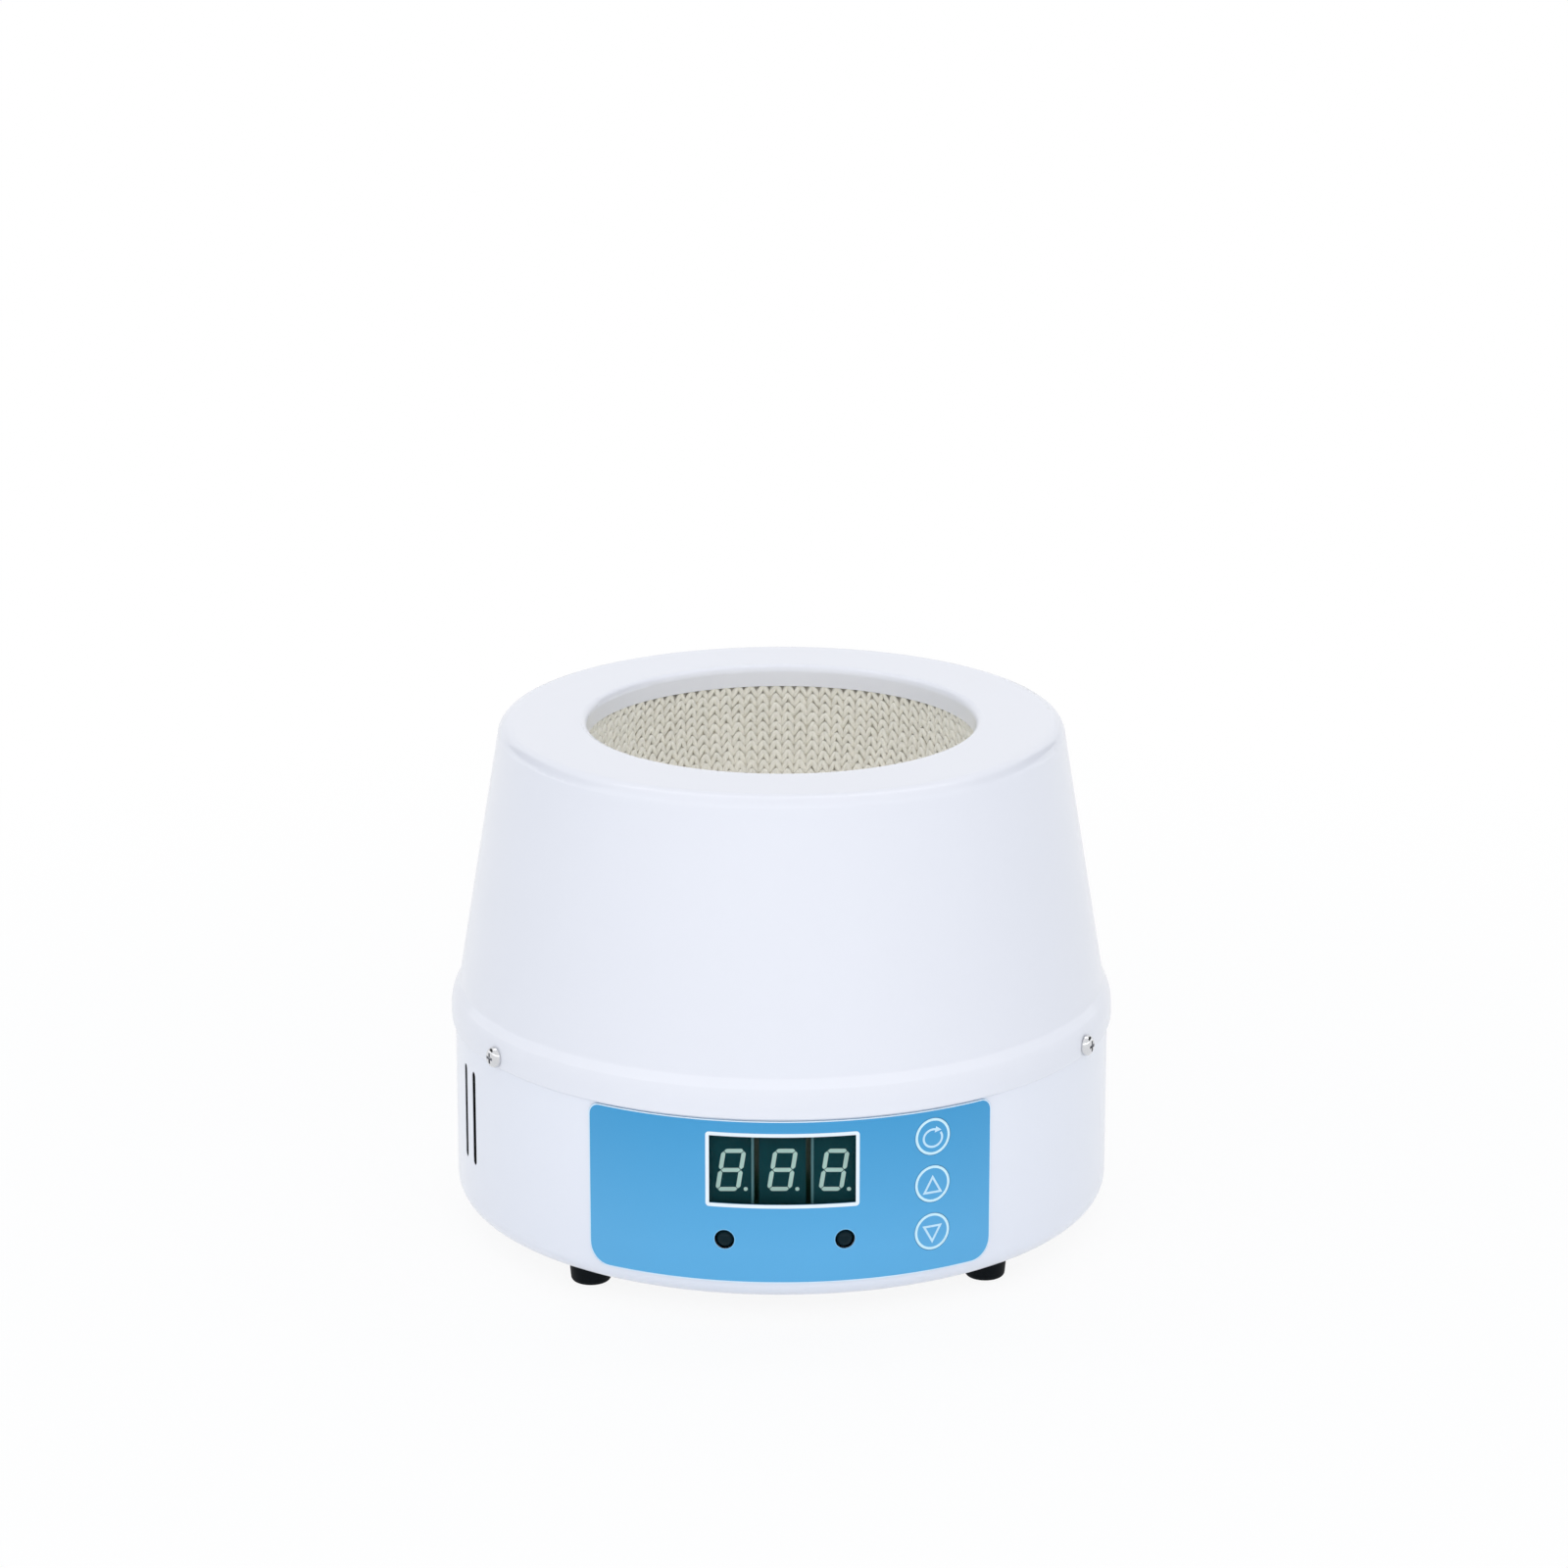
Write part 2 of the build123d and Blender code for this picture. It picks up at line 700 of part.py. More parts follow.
def digit_bars():
    """Outlines of the seven slanted bars of one digit, about its centre."""
    half_wide = (digit_width - digit_bar) / 2
    half_high = (digit_height - digit_bar) / 2
    corners = [Vector(x, y) for y in (-half_high, 0, half_high) for x in (-half_wide, half_wide)]
    level_bars = [(corners[0], corners[1]), (corners[2], corners[3]), (corners[4], corners[5])]
    upright_bars = [(corners[n], corners[n + 2]) for n in range(4)]
    outlines = []
    for start, end in level_bars + upright_bars:
        along = (end - start).normalized()
        side = Vector(-along.Y, along.X) * digit_bar / 2
        shoulder = along * (digit_bar_gap + digit_bar / 2)
        points = [start + along * digit_bar_gap, start + shoulder + side, end - shoulder + side]
        points += [end - along * digit_bar_gap, end - shoulder - side, start + shoulder - side]
        outlines.append([(point.X + point.Y * tan(radians(digit_slant)), point.Y) for point in points])
    return outlines


def digit_face(centre_x):
    """Draw one digit and its point into the sketch that is open."""
    for outline in digit_bars():
        with Locations((centre_x, 0)):
            Polygon(*outline, align=None)
    with Locations((centre_x + point_offset, point_radius - digit_height / 2)):
        Circle(point_radius)


module_face = base_radius - module_setback
module_names = ("digit_left", "digit_middle", "digit_right")
for n, name in enumerate(module_names):
    centre_x = (n - 1) * module_pitch
    with BuildPart() as module:
        with BuildSketch(wall_plane(display_azimuth, module_face, foot_height + module_lift)):
            with Locations((centre_x, 0)):
                Rectangle(module_width, module_height)
        extrude(amount=-module_depth)
        with BuildSketch(wall_plane(display_azimuth, module_face, foot_height + module_lift)):
            digit_face(centre_x)
        extrude(amount=-digit_depth, mode=Mode.SUBTRACT)
    save(module.part, name)

with BuildPart() as digit_segments:
    with BuildSketch(wall_plane(display_azimuth, module_face, foot_height + module_lift)):
        for n in range(len(module_names)):
            digit_face((n - 1) * module_pitch)
    extrude(amount=-digit_depth)
save(digit_segments.part, "digit_segments")

# ---------------------------------------------------------------- lamps

lamp_tip = film_radius + lamp_stand_out
for name, azimuth in zip(("lamp_left", "lamp_right"), lamp_azimuths):
    with BuildPart() as lamp:
        with BuildSketch(wall_plane(azimuth, lamp_tip - lamp_length, foot_height + lamp_lift)):
            Circle(lamp_radius)
        extrude(amount=lamp_length)
        tip = wall_plane(azimuth, lamp_tip, foot_height + lamp_lift).origin
        rounds = lamp.edges().filter_by(GeomType.CIRCLE)
        fillet(rounds.sort_by_distance(tip)[0], lamp_tip_round)
        with BuildSketch(wall_plane(azimuth, lamp_tip - lamp_length, foot_height + lamp_lift)):
            Circle(lamp_flange_radius)
        extrude(amount=lamp_flange)
    save(lamp.part, name)

with BuildPart() as lamp_leads:
    for azimuth in lamp_azimuths:
        with BuildSketch(wall_plane(azimuth, lamp_tip - lamp_length, foot_height + lamp_lift)):
            with GridLocations(lamp_lead_pitch, 1, 2, 1):
                Circle(lamp_lead_radius)
        slant = radians(azimuth - display_azimuth)
        lead_end = board_face / cos(slant) + lamp_lead_pitch * tan(abs(slant)) + slip_fit
        extrude(amount=lead_end + lamp_length - lamp_tip)
save(lamp_leads.part, "lamp_leads")

# ---------------------------------------------------------------- keys and their switches

key_back = film_radius - key_thickness
plunger_face = key_board_face + switch_height + plunger_height
for name, lift in key_lifts.items():
    with BuildPart() as key:
        with BuildSketch(wall_plane(key_azimuth, key_back, foot_height + lift)):
            Circle(key_radius)
        extrude(amount=2 * key_thickness)
        Cylinder(film_radius, 2 * top_z, mode=Mode.INTERSECT)
        with BuildSketch(wall_plane(key_azimuth, key_back, foot_height + lift)):
            Circle(key_stem_radius)
        extrude(amount=-(key_back - plunger_face - key_travel - key_gap))
    save(key.part, name)

with BuildPart() as key_switches:
    for lift in key_lifts.values():
        with BuildSketch(wall_plane(key_azimuth, key_board_face, foot_height + lift)):
            Rectangle(switch_side, switch_side)
        extrude(amount=switch_height)
        with BuildSketch(wall_plane(key_azimuth, key_board_face + switch_height, foot_height + lift)):
            Circle(plunger_radius)
        extrude(amount=plunger_height)
save(key_switches.part, "key_switches")

with BuildPart() as key_board:
    with BuildSketch(wall_plane(key_azimuth, key_board_face, foot_height + key_board_lift)):
        Rectangle(key_board_width, key_board_height)
    extrude(amount=-board_thickness)
save(key_board.part, "key_board")

with BuildPart() as display_board:
    with BuildSketch(wall_plane(display_azimuth, board_face, foot_height + display_board_lift)):
        Rectangle(display_board_width, display_board_height)
    extrude(amount=-board_thickness)
save(display_board.part, "display_board")

# ---------------------------------------------------------------- bracket, spacers and board screws

wing_turn = radians(key_azimuth - display_azimuth)
bracket_corner = (key_bracket_face - bracket_face * cos(wing_turn)) / sin(wing_turn)
wing_end = Vector(sin(wing_turn), -cos(wing_turn)) * key_bracket_face
wing_end += Vector(cos(wing_turn), sin(wing_turn)) * key_board_width / 2
display_board_z = foot_height + display_board_lift
key_board_z = foot_height + key_board_lift
bracket_back = wall_plane(display_azimuth, bracket_face - bracket_sheet, display_board_z)
wing_back = wall_plane(key_azimuth, key_bracket_face - bracket_sheet, key_board_z)


def display_screws():
    """Places of the display board's four screws, about its centre."""
    spread = 2 * board_hole_inset
    return GridLocations(display_board_width - spread, display_board_height - spread, 2, 2)


def key_screws():
    """Places of the key board's two screws, about its centre."""
    return GridLocations(1, key_board_height - 2 * board_hole_inset, 1, 2)


def power_screws():
    """Places of the power board's four screws, about its centre."""
    return GridLocations(power_width - 2 * pillar_radius, power_depth - 2 * pillar_radius, 2, 2)


with BuildPart() as panel_bracket:
    with BuildSketch(panel_level(floor_z)):
        with BuildLine():
            FilletPolyline(
                (-display_board_width / 2, -bracket_face),
                (bracket_corner, -bracket_face),
                (wing_end.X, wing_end.Y),
                radius=bracket_bend,
            )
            offset(amount=bracket_sheet, side=Side.LEFT)
        make_face()
    extrude(amount=deck_low_z - bracket_top_gap - floor_z)
    with BuildSketch(panel_level(floor_z)):
        with Locations((0, bracket_sheet - bracket_face)):
            Rectangle(display_board_width - 2 * bracket_bend, bracket_foot, align=(Align.CENTER, Align.MIN))
        with rivet_places():
            Circle(rivet_radius + slip_fit, mode=Mode.SUBTRACT)
    extrude(amount=bracket_sheet)
    with BuildSketch(bracket_back):
        Rectangle(bracket_window_width, bracket_window_height)
        with display_screws():
            Circle(board_screw_radius + slip_fit)
    with BuildSketch(wing_back):
        with key_screws():
            Circle(board_screw_radius + slip_fit)
    extrude(amount=2 * bracket_sheet, mode=Mode.SUBTRACT)
save(panel_bracket.part, "panel_bracket")

with BuildPart() as board_spacers:
    with BuildSketch(wall_plane(display_azimuth, bracket_face, display_board_z)):
        with display_screws():
            Circle(spacer_radius)
            Circle(board_screw_radius + thread_fit, mode=Mode.SUBTRACT)
    extrude(amount=board_face - board_thickness - bracket_face)
    with BuildSketch(wall_plane(key_azimuth, key_bracket_face, key_board_z)):
        with key_screws():
            Circle(spacer_radius)
            Circle(board_screw_radius + thread_fit, mode=Mode.SUBTRACT)
    extrude(amount=key_spacer_length)
    with BuildSketch(lifted(floor_z)):
        with Locations((0, power_shift)):
            with power_screws():
                Circle(pillar_radius)
                Circle(board_screw_radius + thread_fit, mode=Mode.SUBTRACT)
    extrude(amount=pillar_height)
save(board_spacers.part, "board_spacers")

with BuildPart() as board_screw:
    Cylinder(board_screw_head_radius, board_screw_head_height, align=(Align.CENTER, Align.CENTER, Align.MIN))
    fillet(board_screw.edges().group_by(Axis.Z)[-1], board_screw_head_height / 2)
    Cylinder(board_screw_radius, board_screw_reach, align=(Align.CENTER, Align.CENTER, Align.MAX))

with BuildPart() as board_screws:
    with Locations(-bracket_back):
        with display_screws():
            add(board_screw.part)
    with Locations(-wing_back):
        with key_screws():
            add(board_screw.part)
    with Locations((0, power_shift, power_z)):
        with power_screws():
            add(board_screw.part)
save(board_screws.part, "board_screws")

rivet_grip = sheet + bracket_sheet
with BuildPart() as bracket_rivet:
    Cylinder(rivet_radius, rivet_grip, align=(Align.CENTER, Align.CENTER, Align.MIN))
    with Locations((0, 0, rivet_grip)):
        Cylinder(rivet_head_radius, rivet_head_height, align=(Align.CENTER, Align.CENTER, Align.MIN))
    Cylinder(rivet_head_radius, rivet_head_height, align=(Align.CENTER, Align.CENTER, Align.MAX))
    fillet(bracket_rivet.edges().group_by(Axis.Z)[0], rivet_head_height / 2)

with BuildPart() as bracket_rivets:
    with Locations(panel_level(foot_height)):
        with rivet_places():
            add(bracket_rivet.part)
save(bracket_rivets.part, "bracket_rivets")

with BuildPart() as board_chip:
    with BuildSketch(wall_plane(key_azimuth, key_board_face - board_thickness, key_board_z)):
        Rectangle(chip_height, chip_width)
    extrude(amount=-chip_thickness)
save(board_chip.part, "board_chip")

# ---------------------------------------------------------------- power board and what it carries

def board_box(place, width, depth, height, low=power_z):
    """Upright block on the power board, in the part that is open."""
    with BuildSketch(lifted(low)) as outline:
        with Locations(place):
            Rectangle(width, depth)
    extrude(outline.sketch, amount=height)


with BuildPart() as power_board:
    board_box((0, power_shift), power_width, power_depth, board_thickness, power_z - board_thickness)
    with BuildSketch(lifted(power_z)):
        with Locations((0, power_shift)):
            with power_screws():
                Circle(board_screw_radius + slip_fit)
    extrude(amount=-2 * board_thickness, mode=Mode.SUBTRACT)
save(power_board.part, "power_board")

window_centre = (core_leg + core_window) / 2
core_middle_z = power_z + core_height / 2
with BuildPart() as transformer_core:
    board_box(core_place, core_width, core_depth, core_height)
    with BuildSketch(Plane(origin=(*core_place, core_middle_z), x_dir=(1, 0, 0), z_dir=(0, -1, 0))):
        with GridLocations(2 * window_centre, 1, 2, 1):
            Rectangle(core_window, core_height - 2 * core_yoke)
    extrude(amount=core_depth, both=True, mode=Mode.SUBTRACT)
save(transformer_core.part, "transformer_core")

coil_height = core_height - 2 * core_yoke - 2 * slip_fit
with BuildPart() as transformer_coil:
    board_box(core_place, core_leg + 2 * core_window - 2 * slip_fit, coil_depth, coil_height,
              power_z + core_yoke + slip_fit)
    fillet(transformer_coil.edges().filter_by(Axis.Z), core_window / 2)
    with BuildSketch(lifted(power_z)):
        with Locations(core_place):
            Rectangle(core_leg + 2 * slip_fit, core_depth + 2 * slip_fit)
    extrude(amount=core_height, mode=Mode.SUBTRACT)
save(transformer_coil.part, "transformer_coil")

fin_pitch = (sink_length - sink_fin_thickness) / (sink_fin_count - 1)
with BuildPart() as heat_sink:
    with BuildSketch(lifted(power_z)):
        with Locations(sink_place):
            Rectangle(sink_thickness, sink_length, align=(Align.MAX, Align.CENTER))
            with GridLocations(1, fin_pitch, 1, sink_fin_count):
                Rectangle(sink_fin_depth, sink_fin_thickness, align=(Align.MIN, Align.CENTER))
    extrude(amount=sink_height)
save(heat_sink.part, "heat_sink")

triac_x = sink_place[0] - sink_thickness - triac_thickness / 2
with BuildPart() as triac:
    board_box((triac_x, sink_place[1]), triac_thickness, triac_width, triac_height, power_z + triac_leg)
    with BuildSketch(lifted(power_z)):
        with Locations((triac_x, sink_place[1])):
            with GridLocations(1, triac_leg_pitch, 1, 3):
                Rectangle(triac_leg_width / 2, triac_leg_width)
    extrude(amount=triac_leg)
save(triac.part, "triac")

with BuildPart() as filter_capacitor:
    with Locations((capacitor_place[0], capacitor_place[1], power_z)):
        Cylinder(capacitor_radius, capacitor_height, align=(Align.CENTER, Align.CENTER, Align.MIN))
    fillet(filter_capacitor.edges().group_by(Axis.Z)[-1], capacitor_radius / 5)
save(filter_capacitor.part, "filter_capacitor")

with BuildPart() as terminal_block:
    board_box((0, 0), terminal_width, terminal_depth, terminal_height)
    with BuildSketch(lifted(terminal_top_z)):
        with GridLocations(2 * lead_spread, 1, 2, 1):
            Circle(terminal_entry_radius)
    extrude(amount=-terminal_entry_depth, mode=Mode.SUBTRACT)
save(terminal_block.part, "terminal_block")

with BuildPart() as board_connectors:
    for place in (mains_connector_place, ribbon_connector_place, sensor_connector_place):
        board_box(place, connector_width, connector_depth, connector_height)
save(board_connectors.part, "board_connectors")

# ---------------------------------------------------------------- appliance inlet

rear_face = wall_plane(180, flat_distance, flat_z)
bezel_face = wall_plane(180, flat_distance + bezel_thickness, flat_z)
socket_floor = wall_plane(180, flat_distance + bezel_thickness - socket_depth, flat_z)
inlet_back = wall_plane(180, flat_distance - inlet_body_depth, flat_z)
drawer_pocket = drawer_length + drawer_clearance
with BuildPart() as power_inlet:
    with BuildSketch(rear_face):
        with Locations((inlet_offset, 0)):
            RectangleRounded(inlet_width, inlet_height, bezel_corner)
    extrude(amount=bezel_thickness)
    with BuildSketch(rear_face):
        with Locations((inlet_offset, 0)):
            Rectangle(inlet_body_width, inlet_body_height)
    extrude(amount=-inlet_body_depth)
    with BuildSketch(bezel_face) as socket:
        with Locations((inlet_offset, -socket_drop)):
            Rectangle(socket_width, socket_height)
        chamfer(socket.vertices().group_by(Axis.Y)[-1], socket_chamfer)
    extrude(amount=-socket_depth, mode=Mode.SUBTRACT)
    with BuildSketch(bezel_face):
        with Locations((inlet_offset, drawer_rise)):
            Rectangle(drawer_width + 2 * drawer_clearance, drawer_height + 2 * drawer_clearance)
    extrude(amount=-drawer_pocket, mode=Mode.SUBTRACT)
    with BuildSketch(socket_floor):
        with Locations((inlet_offset, -socket_drop)):
            with Locations((-blade_spread, 0), (0, blade_rise), (blade_spread, 0)):
                Rectangle(blade_width + 2 * thread_fit, blade_height + 2 * thread_fit)
    extrude(amount=-inlet_body_depth, mode=Mode.SUBTRACT)
save(power_inlet.part, "power_inlet")

blade_root = inlet_body_depth + bezel_thickness - socket_depth
with BuildPart() as inlet_blades:
    with BuildSketch(socket_floor):
        with Locations((inlet_offset, -socket_drop)):
            with Locations((-blade_spread, 0), (0, blade_rise), (blade_spread, 0)):
                Rectangle(blade_width, blade_height)
    extrude(amount=blade_length)
    extrude(inlet_blades.faces().sort_by(Axis.Y)[:3], amount=blade_root)
    with BuildSketch(inlet_back):
        with Locations((inlet_offset, -socket_drop)):
            with Locations((-blade_spread, 0), (0, blade_rise), (blade_spread, 0)):
                Rectangle(tab_thickness, tab_width)
    extrude(amount=-tab_length)
save(inlet_blades.part, "inlet_blades")

drawer_floor = drawer_length - drawer_wall
with BuildPart() as fuse_drawer:
    with BuildSketch(bezel_face):
        with Locations((inlet_offset, drawer_rise)):
            Rectangle(drawer_width, drawer_height)
    extrude(amount=-drawer_length)
    with BuildSketch(bezel_face):
        with Locations((inlet_offset, drawer_rise)):
            Rectangle(drawer_width + 2 * drawer_lip, drawer_height + drawer_lip)
    extrude(amount=drawer_lip)
    with BuildSketch(wall_plane(180, flat_distance + bezel_thickness - 2 * drawer_wall, flat_z)):
        with Locations((inlet_offset, drawer_rise + drawer_wall)):
            Rectangle(drawer_width - 2 * drawer_wall, drawer_height)
    extrude(amount=-drawer_floor + 2 * drawer_wall, mode=Mode.SUBTRACT)
save(fuse_drawer.part, "fuse_drawer")

fuse_low = drawer_rise - drawer_height / 2 + drawer_wall + drawer_wall / 2 + fuse_radius + slip_fit
fuse_plane = Plane(
    origin=rear_face.from_local_coords(Vector(inlet_offset, fuse_low, bezel_thickness - drawer_length / 2)),
    z_dir=(1, 0, 0),
)
with BuildPart() as fuse:
    with BuildSketch(fuse_plane):
        Circle(fuse_radius)
    extrude(amount=fuse_length / 2, both=True)
save(fuse.part, "fuse")

# ---------------------------------------------------------------- power switch

rocker_well_length = rocker_length + 4 * rocker_clearance
rocker_well_width = rocker_width + 2 * rocker_clearance
pivot_plane = wall_plane(180, flat_distance + bezel_thickness - pivot_depth, flat_z)
pivot_point = pivot_plane.from_local_coords(Vector(switch_offset, 0, 0))
side_plane = Plane(origin=pivot_point, x_dir=(0, 0, 1), z_dir=(1, 0, 0))
with BuildPart() as switch_frame:
    with BuildSketch(rear_face):
        with Locations((switch_offset, 0)):
            RectangleRounded(switch_width, switch_frame_height, bezel_corner / 2)
    extrude(amount=bezel_thickness)
    with BuildSketch(rear_face):
        with Locations((switch_offset, 0)):
            Rectangle(switch_body_width, switch_body_height)
    extrude(amount=-switch_body_depth)
    with BuildSketch(bezel_face):
        with Locations((switch_offset, 0)):
            Rectangle(rocker_well_width, rocker_well_length)
    extrude(amount=-rocker_well_depth, mode=Mode.SUBTRACT)
    with BuildSketch(side_plane):
        Circle(pivot_radius + slip_fit)
    extrude(amount=rocker_width / 2 + pivot_reach + slip_fit, both=True, mode=Mode.SUBTRACT)
save(switch_frame.part, "switch_frame")

with BuildPart() as power_rocker:
    with BuildSketch(side_plane):
        Polygon(
            (-rocker_length / 2, rocker_below),
            (-rocker_length / 2, -rocker_rise),
            (0, -rocker_waist),
            (rocker_length / 2, -rocker_rise),
            (rocker_length / 2, rocker_below),
            rotation=rocker_tilt,
            align=None,
        )
    extrude(amount=rocker_width / 2, both=True)
    fillet(power_rocker.edges().filter_by(Axis.X), rocker_edge_round)
    with BuildSketch(side_plane):
        Circle(pivot_radius)
    extrude(amount=rocker_width / 2 + pivot_reach, both=True)
save(power_rocker.part, "power_rocker")

switch_back = wall_plane(180, flat_distance - switch_body_depth, flat_z)
with BuildPart() as switch_tabs:
    with BuildSketch(switch_back):
        with Locations((switch_offset, 0)):
            with GridLocations(1, switch_body_height / 2, 1, 2):
                Rectangle(tab_width, tab_thickness)
    extrude(amount=-tab_length)
save(switch_tabs.part, "switch_tabs")

# ---------------------------------------------------------------- earth, leads and ribbon

def wire(points, bend, profile_radius):
    """Round insulated wire along straight runs joined by arcs."""
    with BuildPart() as run:
        with BuildLine() as route:
            FilletPolyline(*points, radius=bend)
        with BuildSketch(Plane(origin=route.line @ 0, z_dir=route.line % 0)):
            Circle(profile_radius)
        sweep()
    return run.part


with BuildPart() as earth_stud:
    with Locations((*earth_place, foot_height)):
        Cylinder(screw_radius, sheet + stud_height, align=(Align.CENTER, Align.CENTER, Align.MIN))
save(earth_stud.part, "earth_stud")

socket_z = flat_z - socket_drop
inlet_tab_y = flat_distance - inlet_body_depth - tab_length - slip_fit
switch_tab_y = flat_distance - switch_body_depth - tab_length - slip_fit
live_x = blade_spread - inlet_offset
neutral_x = -blade_spread - inlet_offset
connector_z = power_z + connector_height / 2
connector_y = mains_connector_place[1] + connector_depth / 2 + slip_fit
turn_y = inlet_tab_y - wire_slack
upper_tab_z = flat_z + switch_body_height / 4
lower_tab_z = flat_z - switch_body_height / 4
switched_x = mains_connector_place[0] + connector_width / 4
return_x = mains_connector_place[0] - connector_width / 4
mains_routes = (
    (
        (live_x, inlet_tab_y, socket_z),
        (live_x, turn_y, socket_z),
        (-switch_offset, turn_y, lower_tab_z),
        (-switch_offset, switch_tab_y, lower_tab_z),
    ),
    (
        (-switch_offset, switch_tab_y, upper_tab_z),
        (-switch_offset, turn_y, upper_tab_z),
        (switched_x, connector_y + wire_slack, connector_z),
        (switched_x, connector_y, connector_z),
    ),
    (
        (neutral_x, inlet_tab_y, socket_z),
        (neutral_x, turn_y - wire_bend / 2, socket_z),
        (return_x, connector_y + wire_slack, connector_z),
        (return_x, connector_y, connector_z),
    ),
)
with BuildPart() as mains_leads:
    for route in mains_routes:
        add(wire(route, wire_bend, wire_radius))
save(mains_leads.part, "mains_leads")

barrel_x = earth_place[0] + barrel_reach
barrel_z = floor_z + barrel_size / 2
with BuildPart() as earth_lead:
    with BuildSketch(lifted(floor_z)):
        with Locations(earth_place):
            Circle(lug_radius)
            Rectangle(barrel_reach - barrel_size, barrel_size, align=(Align.MIN, Align.CENTER))
            Circle(screw_radius + slip_fit, mode=Mode.SUBTRACT)
    extrude(amount=lug_thickness)
    with BuildSketch(lifted(floor_z)):
        with Locations((barrel_x, earth_place[1])):
            Rectangle(2 * barrel_size, barrel_size, align=(Align.MAX, Align.CENTER))
            with Locations((-barrel_size, 0)):
                Rectangle(barrel_size / 2, barrel_size, align=(Align.MAX, Align.CENTER))
    extrude(amount=barrel_size)
    earth_route = (
        (barrel_x - slip_fit, earth_place[1], barrel_z),
        (barrel_x + wire_slack, earth_place[1], barrel_z),
        (-inlet_offset, turn_y, socket_z + blade_rise),
        (-inlet_offset, inlet_tab_y, socket_z + blade_rise),
    )
    add(wire(earth_route, wire_bend, wire_radius))
save(earth_lead.part, "earth_lead")

sensor_end_z = power_z + connector_height + slip_fit
sensor_route = (
    (0, 0, sensor_low_z - slip_fit),
    (0, 0, sensor_low_z - wire_slack),
    (*sensor_connector_place, sensor_end_z + wire_slack),
    (*sensor_connector_place, sensor_end_z),
)
sensor_lead = wire(sensor_route, wire_bend, wire_radius)
save(sensor_lead, "sensor_lead")

ribbon_x, ribbon_y = ribbon_connector_place
ribbon_start = fit_gap + board_thickness - board_face
with BuildPart() as ribbon_cable:
    with BuildLine() as ribbon_route:
        FilletPolyline(
            (ribbon_x, ribbon_start, display_board_z),
            (ribbon_x, -bracket_face + bracket_foot, display_board_z),
            (ribbon_x, ribbon_y, sensor_end_z + wire_slack),
            (ribbon_x, ribbon_y, sensor_end_z),
            radius=ribbon_bend,
        )
    with BuildSketch(Plane(origin=ribbon_route.line @ 0, x_dir=(1, 0, 0), z_dir=ribbon_route.line % 0)):
        Rectangle(ribbon_width, ribbon_thickness)
    sweep()
save(ribbon_cable.part, "ribbon_cable")
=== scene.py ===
"""Finishes, knitted bowl, panel print and studio of a heating mantle.

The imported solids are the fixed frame. Each sub-assembly below is a class that dresses its solids
and builds the pieces that only show: the knitted yarn of the bowl, the print of the control film,
the marks of the switch. Sizes are in millimetres until they reach a mesh, which is in metres.
"""

import logging
import math
from dataclasses import dataclass, field
from enum import Enum

import bpy
import numpy as np
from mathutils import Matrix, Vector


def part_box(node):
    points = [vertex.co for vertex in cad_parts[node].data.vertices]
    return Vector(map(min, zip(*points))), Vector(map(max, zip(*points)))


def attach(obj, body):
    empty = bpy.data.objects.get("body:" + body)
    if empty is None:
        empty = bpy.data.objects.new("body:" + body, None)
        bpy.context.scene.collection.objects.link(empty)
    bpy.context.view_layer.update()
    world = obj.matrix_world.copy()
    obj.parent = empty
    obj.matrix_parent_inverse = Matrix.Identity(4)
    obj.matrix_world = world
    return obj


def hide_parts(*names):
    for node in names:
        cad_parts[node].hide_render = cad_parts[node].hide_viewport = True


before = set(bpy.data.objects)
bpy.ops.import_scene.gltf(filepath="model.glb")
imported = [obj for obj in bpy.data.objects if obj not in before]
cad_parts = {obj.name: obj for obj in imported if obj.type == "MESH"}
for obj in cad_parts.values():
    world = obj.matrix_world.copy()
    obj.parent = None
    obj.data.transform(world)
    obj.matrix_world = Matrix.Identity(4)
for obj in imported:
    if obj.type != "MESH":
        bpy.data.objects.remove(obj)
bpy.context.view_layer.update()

MM = 0.001
WHITE = (1.0, 1.0, 1.0, 1.0)
COAT_ROUGHNESS = 0.08
GLOSS_DRIFT = 0.12
DARKEST_LINEAR = 0.04045
log = logging.getLogger("heating_mantle")

Point = tuple[float, float]
Place = tuple[float, float, float]
Triple = tuple[int, int, int]
Faces = list[list[int]]
Socket = bpy.types.NodeSocket


# ---------------------------------------------------------------- finishes


def linear(color: Triple) -> tuple[float, float, float, float]:
    """Turn an 8-bit display colour into linear light.

    Args:
        color: red, green and blue from 0 to 255.

    Returns:
        Linear red, green, blue and an alpha of one.
    """
    parts = [c / 255 for c in color]
    lit = [p / 12.92 if p <= DARKEST_LINEAR else ((p + 0.055) / 1.055) ** 2.4 for p in parts]
    return (lit[0], lit[1], lit[2], 1.0)


class Relief(Enum):
    """Fine relief that a surface carries."""

    PEEL = "soft ripple of baked enamel"
    GRAIN = "even grain of a mould"
    BRUSHED = "lines along one direction"
    FIBRE = "short matted fibres"
    LAYERS = "stacked thin sheets"


